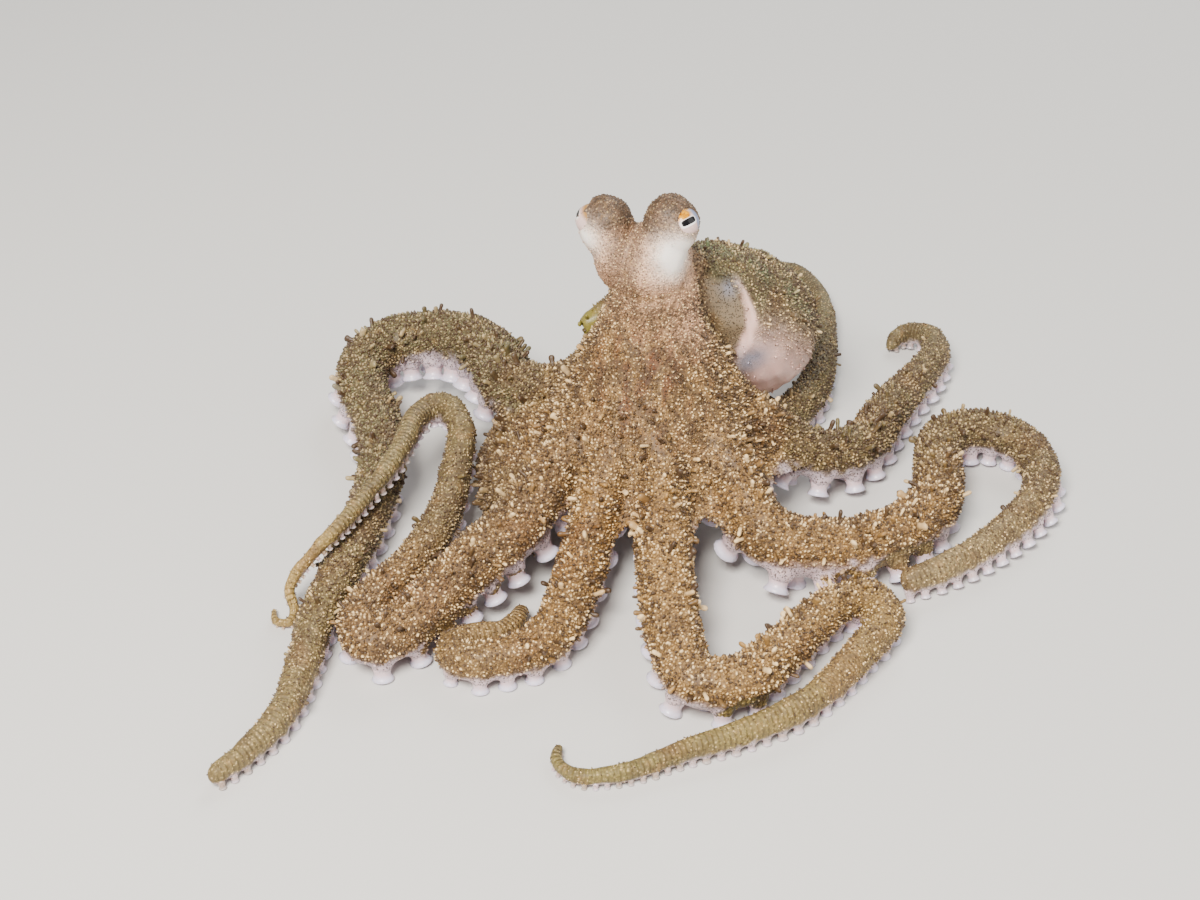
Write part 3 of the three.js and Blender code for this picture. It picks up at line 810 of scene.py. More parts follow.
class Arm:
    """One arm: its route worked out, its flesh and its suckers."""

    rest_height = 1.45  # the arm's middle above its suckers' rims, in radii
    step = 0.8
    sides = 26
    narrow_root = (0.84, 20.0, 40.0)  # how narrow the arm starts, and where it starts and ends widening
    flattening = (1.04, 0.84)  # depth of the sucker side on thin and thick arms, in radii
    sag = 0.14
    floor_gap = 0.35
    first_sucker = 15.0
    sucker_pitch = 0.54  # from each sucker to the next in the other row, in radii
    sucker_offset = 0.56
    thinnest_lobed = 2.2

    def __init__(self, plan: ArmPlan) -> None:
        """Works out the route's length and roll.

        Args:
            plan: The arm's plan.
        """
        self.plan = plan
        outward = turned(plan.azimuth)
        lift = self.rest_height * plan.radii[0]
        roots = [(out * outward[0], out * outward[1], z - lift, 0.0) for out, z in plan.root]
        knots = np.array([*roots, *plan.route], dtype=float)
        self.points, places = smooth_line(knots[:, :3], 60)
        knot = np.minimum(places.astype(int), len(knots) - 2)
        self.rolls = np.radians(blend(knots[knot, 3], knots[knot + 1, 3], fade(places - knot, 0, 1)))
        self.distance = np.concatenate([[0], np.cumsum(np.linalg.norm(np.diff(self.points, axis=0), axis=1))])
        self.length = float(self.distance[-1])

    def radius(self, s: Array | float) -> Array:
        """The arm's radius at a distance along it."""
        root, tip = self.plan.radii
        return tip + (root - tip) * np.maximum(0, 1 - np.asarray(s) / self.length) ** self.plan.thinning

    def middle(self, s: Array) -> Array:
        """The route's point at a distance along it."""
        return np.stack([np.interp(s, self.distance, self.points[:, k]) for k in range(3)], axis=-1)

    def frames(self, s: Array) -> Frames:
        """The arm's middle and directions at several distances.

        Args:
            s: The distances along the arm.

        Returns:
            Middles, directions and sizes.
        """
        s = np.asarray(s, dtype=float)
        radius = self.radius(s)
        centre = self.middle(s)
        centre[:, 2] += self.rest_height * radius
        reach = 0.4
        along = unit(self.middle(np.minimum(s + reach, self.length)) - self.middle(np.maximum(s - reach, 0)))
        side = unit(np.cross(along, UP))
        up = unit(np.cross(side, along))
        roll = np.interp(s, self.distance, self.rolls)[:, None]
        turned_side = side * np.cos(roll) + np.cross(along, side) * np.sin(roll)
        turned_up = up * np.cos(roll) + np.cross(along, up) * np.sin(roll)
        share, start, end = self.narrow_root
        return Frames(centre, along, turned_side, turned_up, radius, blend(share, 1.0, fade(s, start, end)))

    def flesh(self) -> Patch:
        """The arm's own blank: a round back, a flatter sucker side, and a rounded tip.

        Returns:
            Corners and faces.
        """
        s = np.append(np.arange(0, self.length - 0.3, self.step), self.length - 0.02)
        f = self.frames(s)
        tip = max(self.plan.radii[1], 0.8)
        ending = np.sqrt(np.clip(1 - np.clip((s - self.length + tip) / tip, 0, 1) ** 2, 0.02, 1))
        depth = COAT_DEPTH * fade(f.radius, 0.6, 3.0) + SKIN_SLACK
        turn = np.linspace(0, 2 * math.pi, self.sides, endpoint=False)
        across = np.cos(turn)[None, :] * ((f.radius * 0.99 * f.squeeze - depth) * ending)[:, None]
        back = np.sin(turn).clip(0, 1)[None, :] * ((f.radius - depth) * ending)[:, None]
        deep = blend(*self.flattening, fade(f.radius, 2.4, 5.0))
        front = (-np.sin(turn)).clip(0, 1)[None, :] ** 0.8 * (f.radius * deep * ending)[:, None]
        over = back - front - (self.sag * f.radius * ending)[:, None]
        rings = f.centre[:, None, :] + across[..., None] * f.side[:, None, :] \
            + over[..., None] * f.up[:, None, :]
        rings[..., 2] = np.maximum(rings[..., 2], self.floor_gap)
        return loft(rings)

    def sucker_places(self) -> tuple[Array, Array]:
        """How far along each sucker stands, and on which side.

        Returns:
            The distances, and 1 or -1 for the side.
        """
        found, s = [], self.first_sucker
        while s < self.length - 1.0:
            found.append(s)
            s += self.sucker_pitch * max(float(self.radius(s)), 1.1)
        side = np.where(np.arange(len(found)) % 2 == 0, 1.0, -1.0)
        return np.array(found), side

    def lobes(self) -> list[Patch]:
        """The flesh that comes down to each sucker, where the arm is thick enough to show it.

        Returns:
            One form for each sucker.
        """
        s, side = self.sucker_places()
        f = self.frames(s)
        across = f.side * (side * self.sucker_offset * f.squeeze)[:, None]
        made = []
        for i in np.flatnonzero(f.radius > self.thinnest_lobed):
            r = f.radius[i]
            axes = np.array([f.along[i], f.side[i], f.up[i]])
            middle = f.centre[i] + r * (0.88 * across[i] - 0.78 * f.up[i])
            made.append(egg(middle, (0.42 * r, 0.36 * r, 0.42 * r), axes, 14, 9))
        return made


# ---- Body ----
@dataclass
class Tent:
    """The crown: a tent of web that rises from the arms' roots to the neck, hollow underneath."""

    outline: tuple[tuple[float, float], ...] = (
        (23.4, 17), (22, 20.5), (18.6, 26.5), (14.8, 33.5), (11.2, 41), (9, 47), (8.3, 53))
    underside: tuple[tuple[float, float], ...] = (
        (0.3, 18), (4, 17), (9, 19), (15, 18), (20, 15.6), (22.6, 15.4))
    top: tuple[tuple[float, float], ...] = ((5.0, 55.0), (0.4, 55.6))
    sides: int = 144
    ridge: float = 1.3
    ridge_width: float = 13.0  # in degrees
    azimuths: tuple[float, ...] = tuple(plan.azimuth for plan in ARM_PLANS)

    def radius(self, z: Array) -> Array:
        """The tent's own radius at a height."""
        r, heights = np.array(self.outline).T
        return np.interp(z, heights, r)

    def blank(self) -> Patch:
        """The turned form with a ridge that runs down into each arm.

        Returns:
            Corners and faces.
        """
        line, _ = smooth_line([*self.underside, *self.outline, *self.top], 8)
        turn = np.linspace(0, 360, self.sides, endpoint=False)
        ridges = np.zeros(self.sides)
        for azimuth in self.azimuths:
            ridges += np.exp(-(((turn - azimuth + 180) % 360 - 180) / self.ridge_width) ** 2)
        rings = []
        for r, z in line:
            outer = r > self.radius(z) - 1.0 and z > 15.5
            swell = (ridges - 0.35) * self.ridge * float(fade(z, 46, 26)) if outer else 0.0
            reach = r - (COAT_DEPTH if outer else 0.0) + swell
            rings.append(np.stack([np.cos(np.radians(turn)) * reach, np.sin(np.radians(turn)) * reach,
                                   np.full(self.sides, z)], axis=-1))
        return loft(np.array(rings))


@dataclass
class Webs:
    """The skin stretched between neighbouring arms, and the deep fold on the right."""

    reach: float = 33.0
    start: float = 12.0
    scallop: float = 0.52
    droop: float = 1.6
    thickness: float = 1.7
    thinning: float = 0.35
    flank: tuple[float, float] = (0.55, 0.1)  # out from the arm's middle and down, in radii
    fold_profile: tuple[tuple[float, float], ...] = (
        (23.0, 14.6), (28.6, 12.8), (31.2, 10.4), (32.3, 7.6), (32.4, 4.6), (33.6, 4.6), (34.1, 8),
        (32.6, 12.2), (29.2, 15.0), (23.0, 16.8))
    fold_span: tuple[float, float] = (144.0, 226.0)
    wave: float = 0.5
    waves: int = 17  # in a full turn

    def between(self, one: Arm, two: Arm) -> Patch:
        """The web from the flank of one arm to the next arm on.

        Args:
            one: The first arm.
            two: The next arm on, anticlockwise from above.

        Returns:
            Corners and faces.
        """
        steps, across = 16, 24
        s = np.linspace(self.start, self.reach, 40)
        flanks = []
        for arm, hand in ((one, 1.0), (two, -1.0)):
            f = arm.frames(s)
            r = f.radius[:, None]
            flanks.append(f.centre - self.flank[1] * r * f.up - hand * self.flank[0] * r * f.side)
        rings = []
        for u in np.linspace(0, 1, steps):
            v = np.linspace(0, 1, across)
            hang = 4 * v * (1 - v)
            back = u * (1 - self.scallop * hang)
            place = back * (len(s) - 1)
            ends = [np.stack([np.interp(place, np.arange(len(s)), flank[:, k]) for k in range(3)], axis=-1)
                    for flank in flanks]
            line = blend(ends[0], ends[1], v[:, None])
            line[:, 2] -= self.droop * hang * u
            half = self.thickness / 2 * (1 - self.thinning * u)
            rings.append(np.vstack([line + UP * half, (line - UP * half)[::-1]]))
        return loft(np.array(rings))

    def fold(self) -> Patch:
        """The deep fold: its section swept round the crown, with soft waves.

        Returns:
            Corners and faces.
        """
        section, _ = smooth_line([*self.fold_profile, self.fold_profile[0]], 4)
        rings = []
        for azimuth in np.linspace(*self.fold_span, 60):
            wave = self.wave * math.sin(math.radians(azimuth) * self.waves)
            low = fade(section[:, 1], 14, 5)
            reach = section[:-1, 0] + (wave * low)[:-1]
            outward = turned(azimuth)
            rings.append(reach[:, None] * outward + section[:-1, 1, None] * UP)
        return loft(np.array(rings))


@dataclass
class Head:
    """The head: its egg-shaped core, the two eye stalks and their lids."""

    heading: float = -108.0
    centre: tuple[float, float, float] = (-0.7, -1.4, 56.0)
    radii: tuple[float, float, float] = (8.2, 8.8, 7.8)
    brow: tuple[float, float] = (-3.0, -1.8)
    spread: float = 6.2
    heights: tuple[float, float] = (65.0, 62.8)
    stalk_radii: tuple[float, float, float] = (5.6, 5.4, 6.2)
    eye_radius: float = 3.0
    eye_out: float = 2.9
    eye_swing: float = 68.0
    eye_rise: float = 25.0
    pupil_swings: tuple[float, float] = (42.0, 80.0)
    lid_swings: tuple[float, float] = (56.0, 104.0)
    gilt: tuple[float, float] = (1.0, 0.15)  # how golden each iris is above its pupil
    pupil_rise: float = 32.0
    lid_angle: float = 50.0
    lid_lift: float = 4.0
    lid_edge: float = 0.24
    cheek_radii: tuple[tuple[float, float, float], ...] = ((5.0, 5.4, 6.6), (4.5, 5.4, 6.6))
    cheek_inward: tuple[float, float] = (1.6, 2.6)
    cheek_drop: float = 5.2

    def axes(self) -> Array:
        """Across, backwards and up."""
        across = turned(self.heading + 90)
        return np.array([across, np.cross(UP, across), UP])

    def stalk(self, hand: Hand) -> Array:
        """The middle of the stalk."""
        middle = np.array([*self.brow, hand.of(self.heights)])
        return middle + hand.value * self.spread * self.axes()[0]

    def eye(self, hand: Hand) -> Array:
        """The middle of the eyeball."""
        swing = self.heading + hand.value * self.eye_swing
        return self.stalk(hand) + self.eye_out * turned(swing, self.eye_rise)

    def look(self, hand: Hand) -> Array:
        """Where the pupil points."""
        return turned(self.heading + hand.value * hand.of(self.pupil_swings), self.pupil_rise)

    def opening(self, hand: Hand) -> Array:
        """The middle of the opening between the lids, a little above the pupil."""
        return turned(self.heading + hand.value * hand.of(self.lid_swings), self.pupil_rise + self.lid_lift)

    def blanks(self) -> list[Patch]:
        """Core, stalks, brow and lid rings.

        Returns:
            The forms.
        """
        shrink = COAT_DEPTH * 0.7
        made = [egg(self.centre, tuple(r - COAT_DEPTH for r in self.radii), self.axes())]
        ring = math.radians(self.lid_angle)
        out = self.eye_radius + 0.2
        for hand in Hand:
            middle = self.stalk(hand)
            made.append(egg(middle, tuple(r - shrink for r in self.stalk_radii), self.axes()))
            across, back, _ = self.axes()
            drop = middle - UP * self.cheek_drop - hand.value * across * hand.of(self.cheek_inward) - back
            made.append(egg(drop, hand.of(self.cheek_radii), self.axes()))
            opening = self.opening(hand)
            made.append(hoop(self.eye(hand) + opening * out * math.cos(ring), opening, out * math.sin(ring),
                             self.lid_edge))
        return made

    def open_lids(self, points: Array) -> Array:
        """Sinks the skin between the lids to behind the eyeball's surface.

        Args:
            points: The skin's corners.

        Returns:
            The corners moved.
        """
        moved = points.copy()
        for hand in Hand:
            away = moved - self.eye(hand)
            distance = np.linalg.norm(away, axis=1)
            angle = np.degrees(np.arccos(np.clip(unit(away) @ self.opening(hand), -1, 1)))
            near = (distance < self.eye_radius + 2.5) & (angle < self.lid_angle)
            sink = fade(angle, self.lid_angle - 1.0, self.lid_angle - 8.0)
            target = blend(distance, np.minimum(distance, self.eye_radius - 0.5), sink)
            moved[near] = (self.eye(hand) + unit(away) * target[:, None])[near]
        return moved


@dataclass
class Mantle:
    """The sac behind the head: a bag open below and at the sides, with the body showing inside."""

    neck: tuple[float, float, float] = (3.5, 6.0, 48.0)
    end: tuple[float, float, float] = (28.6, 38.6, 12.8)
    profile: tuple[tuple[float, float], ...] = (
        (0.0, 7.0), (0.14, 9.6), (0.26, 12.0), (0.42, 13.7), (0.58, 14.9), (0.74, 14.3), (0.87, 11.0),
        (0.96, 5.6), (1.0, 0.3))
    rim_turns: tuple[float, ...] = (0, 60, 90, 120, 140, 180)
    rim_shares: tuple[float, ...] = (0.1, 0.17, 0.27, 0.34, 0.38, 0.4)
    wall: float = 1.2
    gap: float = 0.4
    sides: int = 96
    body_reach: float = 0.62  # how far the body goes into the sac, and over what share it closes
    body_taper: float = 0.22
    neck_reach: float = 4.2
    turn_in: float = 6.0  # how deep the sac's inner side goes
    lip: float = 0.8

    def __post_init__(self) -> None:
        """Works out the sac's length and directions."""
        self.start = np.array(self.neck)
        reach = np.array(self.end) - self.start
        self.length = float(np.linalg.norm(reach))
        self.axis = reach / self.length
        self.dorsal = unit(UP - self.axis * self.axis[2])
        self.left = np.cross(self.dorsal, self.axis)
        line, _ = smooth_line([(share * self.length, r) for share, r in self.profile], 12)
        self.outline = line

    def radius(self, t: Array) -> Array:
        """The sac's radius at a distance along it."""
        return np.interp(t, self.outline[:, 0], self.outline[:, 1])

    def local(self, points: Array) -> tuple[Array, Array, Array]:
        """How far along each point is, how far out, and its turn from the top in degrees, left positive.

        Args:
            points: The points, one a row.

        Returns:
            The three measures.
        """
        away = points - self.start
        t = away @ self.axis
        over, left = away @ self.dorsal, away @ self.left
        return t, np.hypot(over, left), np.degrees(np.arctan2(left, over))

    def rim(self, turn: Array) -> Array:
        """How far along the sac its edge stands, by the turn from the top."""
        return self.length * np.interp(np.abs(turn), self.rim_turns, self.rim_shares)

    def openness(self, turn: Array) -> Array:
        """0 where the edge has grown onto the neck, 1 where it is free."""
        return fade(np.abs(turn), 42, 72)

    def shell(self, t: Array, r: Array, turn: Array) -> Array:
        """Points from distance along, distance out and turn."""
        c, s = np.cos(np.radians(turn))[..., None], np.sin(np.radians(turn))[..., None]
        return self.start + t[..., None] * self.axis + r[..., None] * (c * self.dorsal + s * self.left)

    def body(self, turn: Array) -> Patch:
        """The body that shows inside the sac's edge.

        Args:
            turn: The turns of its corners from the top, in degrees.

        Returns:
            Corners and faces.
        """
        rings = []
        for t in np.linspace(-4.0, self.body_reach * self.length, 40):
            shut = self.radius(np.full(self.sides, max(t, 0))) - COAT_DEPTH
            inner = shut - (self.wall + self.gap) * self.openness(turn)
            past = max(0.0, (t - 0.4 * self.length) / (self.body_taper * self.length))
            end = math.sqrt(max(1 - past ** 2, 0.0))
            front = math.sqrt(max(1 - (max(0.0, -t) / self.neck_reach) ** 2, 0.05))
            rings.append(self.shell(np.full(self.sides, t), inner * end * front + 0.05, turn))
        return loft(np.array(rings))

    def bag(self, turn: Array) -> Patch:
        """The sac: up its inner side, round its lip and back over the outside.

        Args:
            turn: The turns of its corners from the top, in degrees.

        Returns:
            Corners and faces.
        """
        rim = self.rim(turn)
        edge = self.radius(rim) - COAT_DEPTH
        hidden = edge - (self.wall + self.gap) * self.openness(turn) - 1.2
        rings = [self.shell(rim + self.turn_in + 1.0, hidden, turn)]
        for k in np.linspace(1, 0, 8):
            inner = self.radius(rim + self.turn_in * k) - COAT_DEPTH - self.wall
            rings.append(self.shell(rim + self.lip + self.turn_in * k,
                                    np.where(k > 0.9, hidden + 0.6, inner), turn))
        for angle in np.radians(np.linspace(-70, 70, 5)):
            out = edge - self.wall / 2 + self.wall / 2 * math.sin(angle)
            rings.append(self.shell(rim + self.lip - self.lip * math.cos(angle), out, turn))
        for share in np.linspace(0.02, 0.995, 46):
            t = blend(rim, self.length, share)
            rings.append(self.shell(t, np.maximum(self.radius(t) - COAT_DEPTH, 0.05), turn))
        return loft(np.array(rings))

    def blanks(self) -> list[Patch]:
        """The body inside and the bag around it."""
        turn = np.linspace(-180, 180, self.sides, endpoint=False)
        return [self.body(turn), self.bag(turn)]


@dataclass
class Funnel:
    """The soft tube beside the neck, open at its tip."""

    route: tuple[tuple[float, float, float], ...] = ((4, 11, 40), (-4.5, 14.6, 37.4), (-13.2, 11.8, 34.0))
    radii: tuple[float, float, float] = (4.0, 3.2, 2.5)
    wall: float = 1.1

    def blank(self) -> Patch:
        """The tube, with its rim rounded and its bore a few millimetres deep.

        Returns:
            Corners and faces.
        """
        line, place = smooth_line(self.route, 16)
        along = unit(np.gradient(line, axis=0))
        side = unit(np.cross(along, UP))
        up = np.cross(side, along)
        radius = np.interp(place, range(3), self.radii) - COAT_DEPTH / 2
        turn = np.linspace(0, 2 * math.pi, 28, endpoint=False)

        def ring(i: int, r: float, ahead: float = 0.0) -> Array:
            """One ring of the tube."""
            out = np.cos(turn)[:, None] * side[i] + np.sin(turn)[:, None] * up[i]
            return line[i] + along[i] * ahead + r * out

        outer = [ring(i, radius[i]) for i in range(len(line))]
        last = len(line) - 1
        half = self.wall / 2
        rim = [ring(last, radius[last] - half + half * math.cos(a), half * math.sin(a))
               for a in np.linspace(0.4, math.pi - 0.2, 5)]
        bore = [ring(last - k, radius[last] - self.wall) for k in range(1, 7)]
        return loft(np.array(outer + rim + bore))


# ---- Markings: what each point of the skin belongs to, and what grows there ----
class Region(Enum):
    """The parts of the body that carry a coat of their own, after the eight arms."""

    TENT = 8
    HEAD = 9
    MANTLE = 10


@dataclass
class Marks:
    """What every corner of the skin keeps."""

    region: Array
    tint: Array
    root: Array
    coated: Array
    warty: Array
    grain: Array
    marked: Array
    dotted: Array
    rough: Array
    along: Array
    ringed: Array


@dataclass
class Place:
    """Where points lie: on the nearest arm, about the crown's axis and on the mantle."""

    points: Array
    arm: Array
    s: Array  # along the arm to its nearest sample, and from there on
    ahead: Array
    radius: Array  # the arm's
    x: Array  # across the arm and up from its middle, in radii
    y: Array
    out: Array
    azimuth: Array
    t: Array  # along the mantle, out from its middle, and round from its top in degrees
    wide: Array
    turn: Array


@dataclass
class Look:
    """The colour that one part of the body gives to points, and what grows on them there."""

    tint: Array
    coated: Array
    warty: Array | float
    grain: Array | float
    marked: Array
    dotted: Array | float
    rough: Array
    ringed: Array | float = 0.0


def washed(tint: Array, tone: Tone, share: Array) -> Array:
    """Colours with that share of a tone laid over each."""
    return blend(tint, tone.light, share[:, None])


class Markings:
    """Sorts points of the skin into arms and body, and paints them."""

    spacing = 0.6
    skin_on_arm = 0.88  # in radii
    overlap = 0.8  # how softly the look of one part gives way to the next
    left_cheek = ((4.2, -8.6, 61.0), 4.2)
    right_cheek = ((-13.4, -3.4, 61.6), 3.4)
    rust_patch = ((-2.0, -13.0, 38.0), 12.0)
    pink_patch = ((8.0, -4.0, 46.0), 6.0)
    dusky_sac = ((19.6, 9.5, 27.5), 3.4)
    dusky_neck = ((15.0, 8.0, 45.0), 1.8)
    knob_reach = 4.2

    def __init__(self, arms: list[Arm], tent: Tent, head: Head, mantle: Mantle, funnel: Funnel) -> None:
        """Lists the arms' middles for searching.

        Args:
            arms: The eight arms.
            tent: The crown.
            head: The head.
            mantle: The mantle.
            funnel: The funnel.
        """
        self.arms, self.tent, self.head, self.mantle, self.funnel = arms, tent, head, mantle, funnel
        self.lengths = np.array([arm.length for arm in arms])
        samples = [np.arange(10, arm.length, self.spacing) for arm in arms]
        frames = [arm.frames(s) for arm, s in zip(arms, samples)]
        self.owner = np.concatenate([np.full(len(s), i) for i, s in enumerate(samples)])
        self.distance = np.concatenate(samples)
        self.stacked = {key: np.concatenate([getattr(f, key) for f in frames])
                        for key in ("centre", "along", "side", "up", "radius", "squeeze")}
        self.tree = KDTree(len(self.owner))
        for i, point in enumerate(self.stacked["centre"]):
            self.tree.insert(Vector(point), i)
        self.tree.balance()

    def nearest(self, points: Array) -> Array:
        """Which sample of an arm is nearest to each point."""
        return np.array([self.tree.find(point)[1] for point in points.tolist()])

    def locate(self, points: Array) -> Place:
        """Measures where points lie.

        Args:
            points: The points, one a row.

        Returns:
            Their places.
        """
        at = self.nearest(points)
        own = {key: values[at] for key, values in self.stacked.items()}
        away = points - own["centre"]
        x, y, ahead = (np.einsum("ij,ij->i", away, own[key]) for key in ("side", "up", "along"))
        radius = own["radius"]
        return Place(points, self.owner[at], self.distance[at], ahead, radius, x / (radius * own["squeeze"]),
                     y / radius, np.hypot(points[:, 0], points[:, 1]), np.arctan2(points[:, 1], points[:, 0]),
                     *self.mantle.local(points))

    def distances(self, p: Place) -> Array:
        """Measures how far points lie from the skin of each part.

        Args:
            p: Their places.

        Returns:
            A row each for arms, tent, head and mantle.
        """
        z = p.points[:, 2]
        off_arm = np.abs(np.hypot(p.x, p.y) - self.skin_on_arm) * p.radius
        off_tent = np.abs(p.out - self.tent.radius(z)) * 0.85 + np.where((z < 14) | (z > 53), 6.0, 0.0)
        off_tent = np.where((p.out < 23) & (z < 21), 0.0, off_tent)
        swing = np.degrees(p.azimuth) % 360
        in_fold = (p.out > 22) & (p.out < 35.5) & (z < 17) & (swing > 142) & (swing < 228) & (off_arm > 0.7)
        off_tent = np.where(in_fold, np.minimum(off_tent, 0.2), off_tent)
        sac = self.mantle.radius(p.t)
        off_mantle = np.abs(p.wide - sac) + np.where(p.t < 1.5, 5.0, 0.0)
        inside = (p.t > 2) & (p.t < self.mantle.length * 0.5) & (p.wide < sac) & (off_tent > 1.2)
        off_mantle = np.where(inside, np.minimum(off_mantle, 0.4), off_mantle)
        off_head = np.full(len(z), 50.0)
        for centre, radii in ((self.head.centre, self.head.radii),
                              *((self.head.stalk(hand), self.head.stalk_radii) for hand in Hand)):
            local = (p.points - np.array(centre)) @ self.head.axes().T / np.array(radii)
            off_head = np.minimum(off_head, np.abs(np.linalg.norm(local, axis=1) - 1) * 7.0)
        off_head = np.where(z < 50.5, off_head + 8, off_head)
        return np.stack([off_arm + 3.0 * fade(p.s, 30, 16), off_tent, off_head, off_mantle])

    def arm_look(self, p: Place, warts: Array) -> Look:
        """Paints points as skin of the arms: each arm's own two colours, lilac under it, bare thin tips.

        Args:
            p: Their places.
            warts: Where papillae may stand.

        Returns:
            Their look.
        """
        x, y, _ = p.points.T
        near, far = (np.array([paint(*getattr(arm.plan, key)) for arm in self.arms])[p.arm]
                     for key in ("near", "far"))
        ragged = 0.13 * Ripple(2.4, 6).at(p.points)
        shore = blend(-0.5, -0.26, fade(p.radius, 2.6, 4.6))
        oral = fade(p.y + ragged, shore, shore - 0.34)
        shady = 0.62 * np.maximum(fade(y, -20, 8), fade(x, -20, -34) * fade(y, -36, -18))
        tint = blend(near, far, fade(p.s / self.lengths[p.arm], 0.35, 0.95)[:, None])
        tint = washed(washed(tint, Tone.SHADE, shady), Tone.LILAC, 0.75 * oral)
        bare_tip = fade(p.radius, 4.4, 2.4)
        return Look(tint, coated=(1 - fade(p.y + ragged, shore, shore - 0.28)) * (1 - 0.7 * bare_tip),
                    warty=warts * fade(p.y, -0.5, -0.1) * fade(p.radius, 2.6, 5.0),
                    grain=np.clip(p.radius / 5.0, 0.5, 1.0), marked=1 - oral,
                    dotted=0.9 * (oral * fade(p.y, -1.2, -0.8)),
                    rough=(1 - 0.8 * oral) * (1 - 0.4 * bare_tip), ringed=bare_tip * (1 - oral))

    def tent_look(self, p: Place, warts: Array, soft: Array) -> Look:
        """Paints points as skin of the crown: streaks down it, rusty in front, smooth underneath, with
        painted shade towards the back, on the right and in the deep fold.

        Args:
            p: Their places.
            warts: Where papillae may stand.
            soft: Large soft clouds, -1 to 1.

        Returns:
            Their look.
        """
        x, y, z = p.points.T
        tint = blend(Tone.TAN.light, Tone.SAND.light, (0.5 + 0.5 * soft)[:, None])
        rusty = fade(Ripple(3.4, 41).at(p.points), -0.3, 0.5) * blob(p.points, *self.rust_patch)
        tint = washed(tint, Tone.RUST, 0.95 * rusty)
        tint = washed(tint, Tone.PINK, 0.45 * fade(z, 40, 52))
        drawn_out = np.column_stack([p.azimuth * p.out, 0.22 * z, 0.22 * p.out])
        streak = fade(Ripple(2.0, 15).at(drawn_out), 0.0, 0.45) * fade(z, 17, 22)
        tint = washed(tint, Tone.INK, 0.62 * streak)
        tint = washed(tint, Tone.PINK, 0.85 * blob(p.points, *self.pink_patch))
        tint = washed(tint, Tone.SHADE, 0.45 * np.maximum(fade(y, -4, 12), fade(x, -17, -27)))
        # Painted shade in the deep fold, darkest low down, far out and towards the right.
        fold = fade(p.out, 26, 30) * fade(z, 17, 12) * fade(x, -18, -24)
        tint = washed(tint, Tone.WEB, 0.8 * fold)
        under = fade(z, 19, 16) * fade(p.out, 23, 20)
        return Look(washed(tint, Tone.ROSE, 0.7 * under), coated=1 - under,
                    warty=warts * (1 - under) * fade(z, 40, 30), grain=0.92 - 0.24 * fade(z, 30, 50),
                    marked=1 - 0.6 * under, dotted=0.15, rough=1 - 0.5 * under)

    def head_look(self, p: Place) -> Look:
        """Paints points as skin of the head: pink, with white cheeks, dark stalk tops and a dark middle.

        Args:
            p: Their places.

        Returns:
            Their look.
        """
        left = blob(p.points, *self.left_cheek)
        right = 0.7 * blob(p.points, *self.right_cheek)
        pale = np.clip(1.6 * np.maximum(left, right), 0, 1)
        forward = (p.points[:, :2] - np.array(self.head.brow)) @ self.head.axes()[0][:2]
        middle = fade(np.abs(forward + 1.0), 4.6, 2.0)
        crest = np.maximum(fade(p.points[:, 2], 61.5, 65.5), 0.7 * middle)
        specks = fade(Ripple(1.3, 21).at(p.points), -0.5, 0.5)
        brown = np.maximum(crest, 0.3 * specks) * (1 - pale) * (0.86 + 0.14 * specks)
        tint = blend(Tone.PINK.light, blend(Tone.BARK.light, Tone.INK.light, 0.4), brown[:, None])
        return Look(washed(tint, Tone.PEARL, pale), coated=np.clip(crest + 0.4, 0, 1) * (1 - pale), warty=0.0,
                    grain=0.62, marked=(1 - pale) * 0.7, dotted=0.75 * (1 - pale), rough=0.6 * (1 - pale))

    def mantle_look(self, p: Place, soft: Array) -> Look:
        """Paints points as skin of the mantle: olive above, smooth and rosy below, grey within its edge.

        Args:
            p: Their places.
            soft: Large soft clouds, -1 to 1.

        Returns:
            Their look.
        """
        low = fade(np.abs(p.turn), 60, 120)
        loose = self.mantle.openness(p.turn)
        past = p.t - self.mantle.rim(p.turn)
        rosy = low * fade(p.t / self.mantle.length, 0.22, 0.42)
        lip = np.exp(-((past - 0.6) / (0.7 + low)) ** 2) * loose
        within = fade(-past, -0.2, 1.0) * loose * fade(self.mantle.radius(p.t) - p.wide, 0.6, 1.6)
        dusky = np.maximum(blob(p.points, *self.dusky_sac), 0.6 * blob(p.points, *self.dusky_neck))
        tint = blend(Tone.OLIVE.light, Tone.SAND.light, (0.12 + 0.2 * soft)[:, None])
        for tone, share in ((Tone.ROSE, rosy), (Tone.ROSE, 0.8 * lip), (Tone.GREY, within),
                            (Tone.DUSK, np.clip(1.2 * dusky, 0, 0.85))):
            tint = washed(tint, tone, share)
        smooth = np.maximum(np.maximum(rosy, lip), within)
        return Look(tint, coated=(1 - rosy) * (1 - within) * (1 - lip),
                    warty=0.35 * (1 - within) * (1 - lip) * (1 - rosy), grain=0.8, marked=1 - 0.9 * smooth,
                    dotted=np.clip(0.9 * within + 0.4 * dusky, 0, 1), rough=1 - smooth)

    def roots(self, p: Place, region: Array) -> Array:
        """Gives points their place on the map that the grains' colours are baked to.

        Args:
            p: Their places.
            region: The part of the body that each is on.

        Returns:
            The places on the map, with a third number of 0.
        """
        on_arm, on_mantle = region < Region.TENT.value, region == Region.MANTLE.value
        root = np.zeros((len(region), 3))
        root[:, 0] = np.where(on_arm, p.s / self.lengths[p.arm], np.where(
            on_mantle, p.t / self.mantle.length, p.azimuth / (2 * math.pi) + 0.5))
        root[:, 1] = np.where(on_arm, np.arctan2(p.x, p.y) / (2 * math.pi) + 0.5, np.where(
            on_mantle, p.turn / 360 + 0.5, p.points[:, 2] / 75))
        return np.clip(root, 0.01, 0.99)

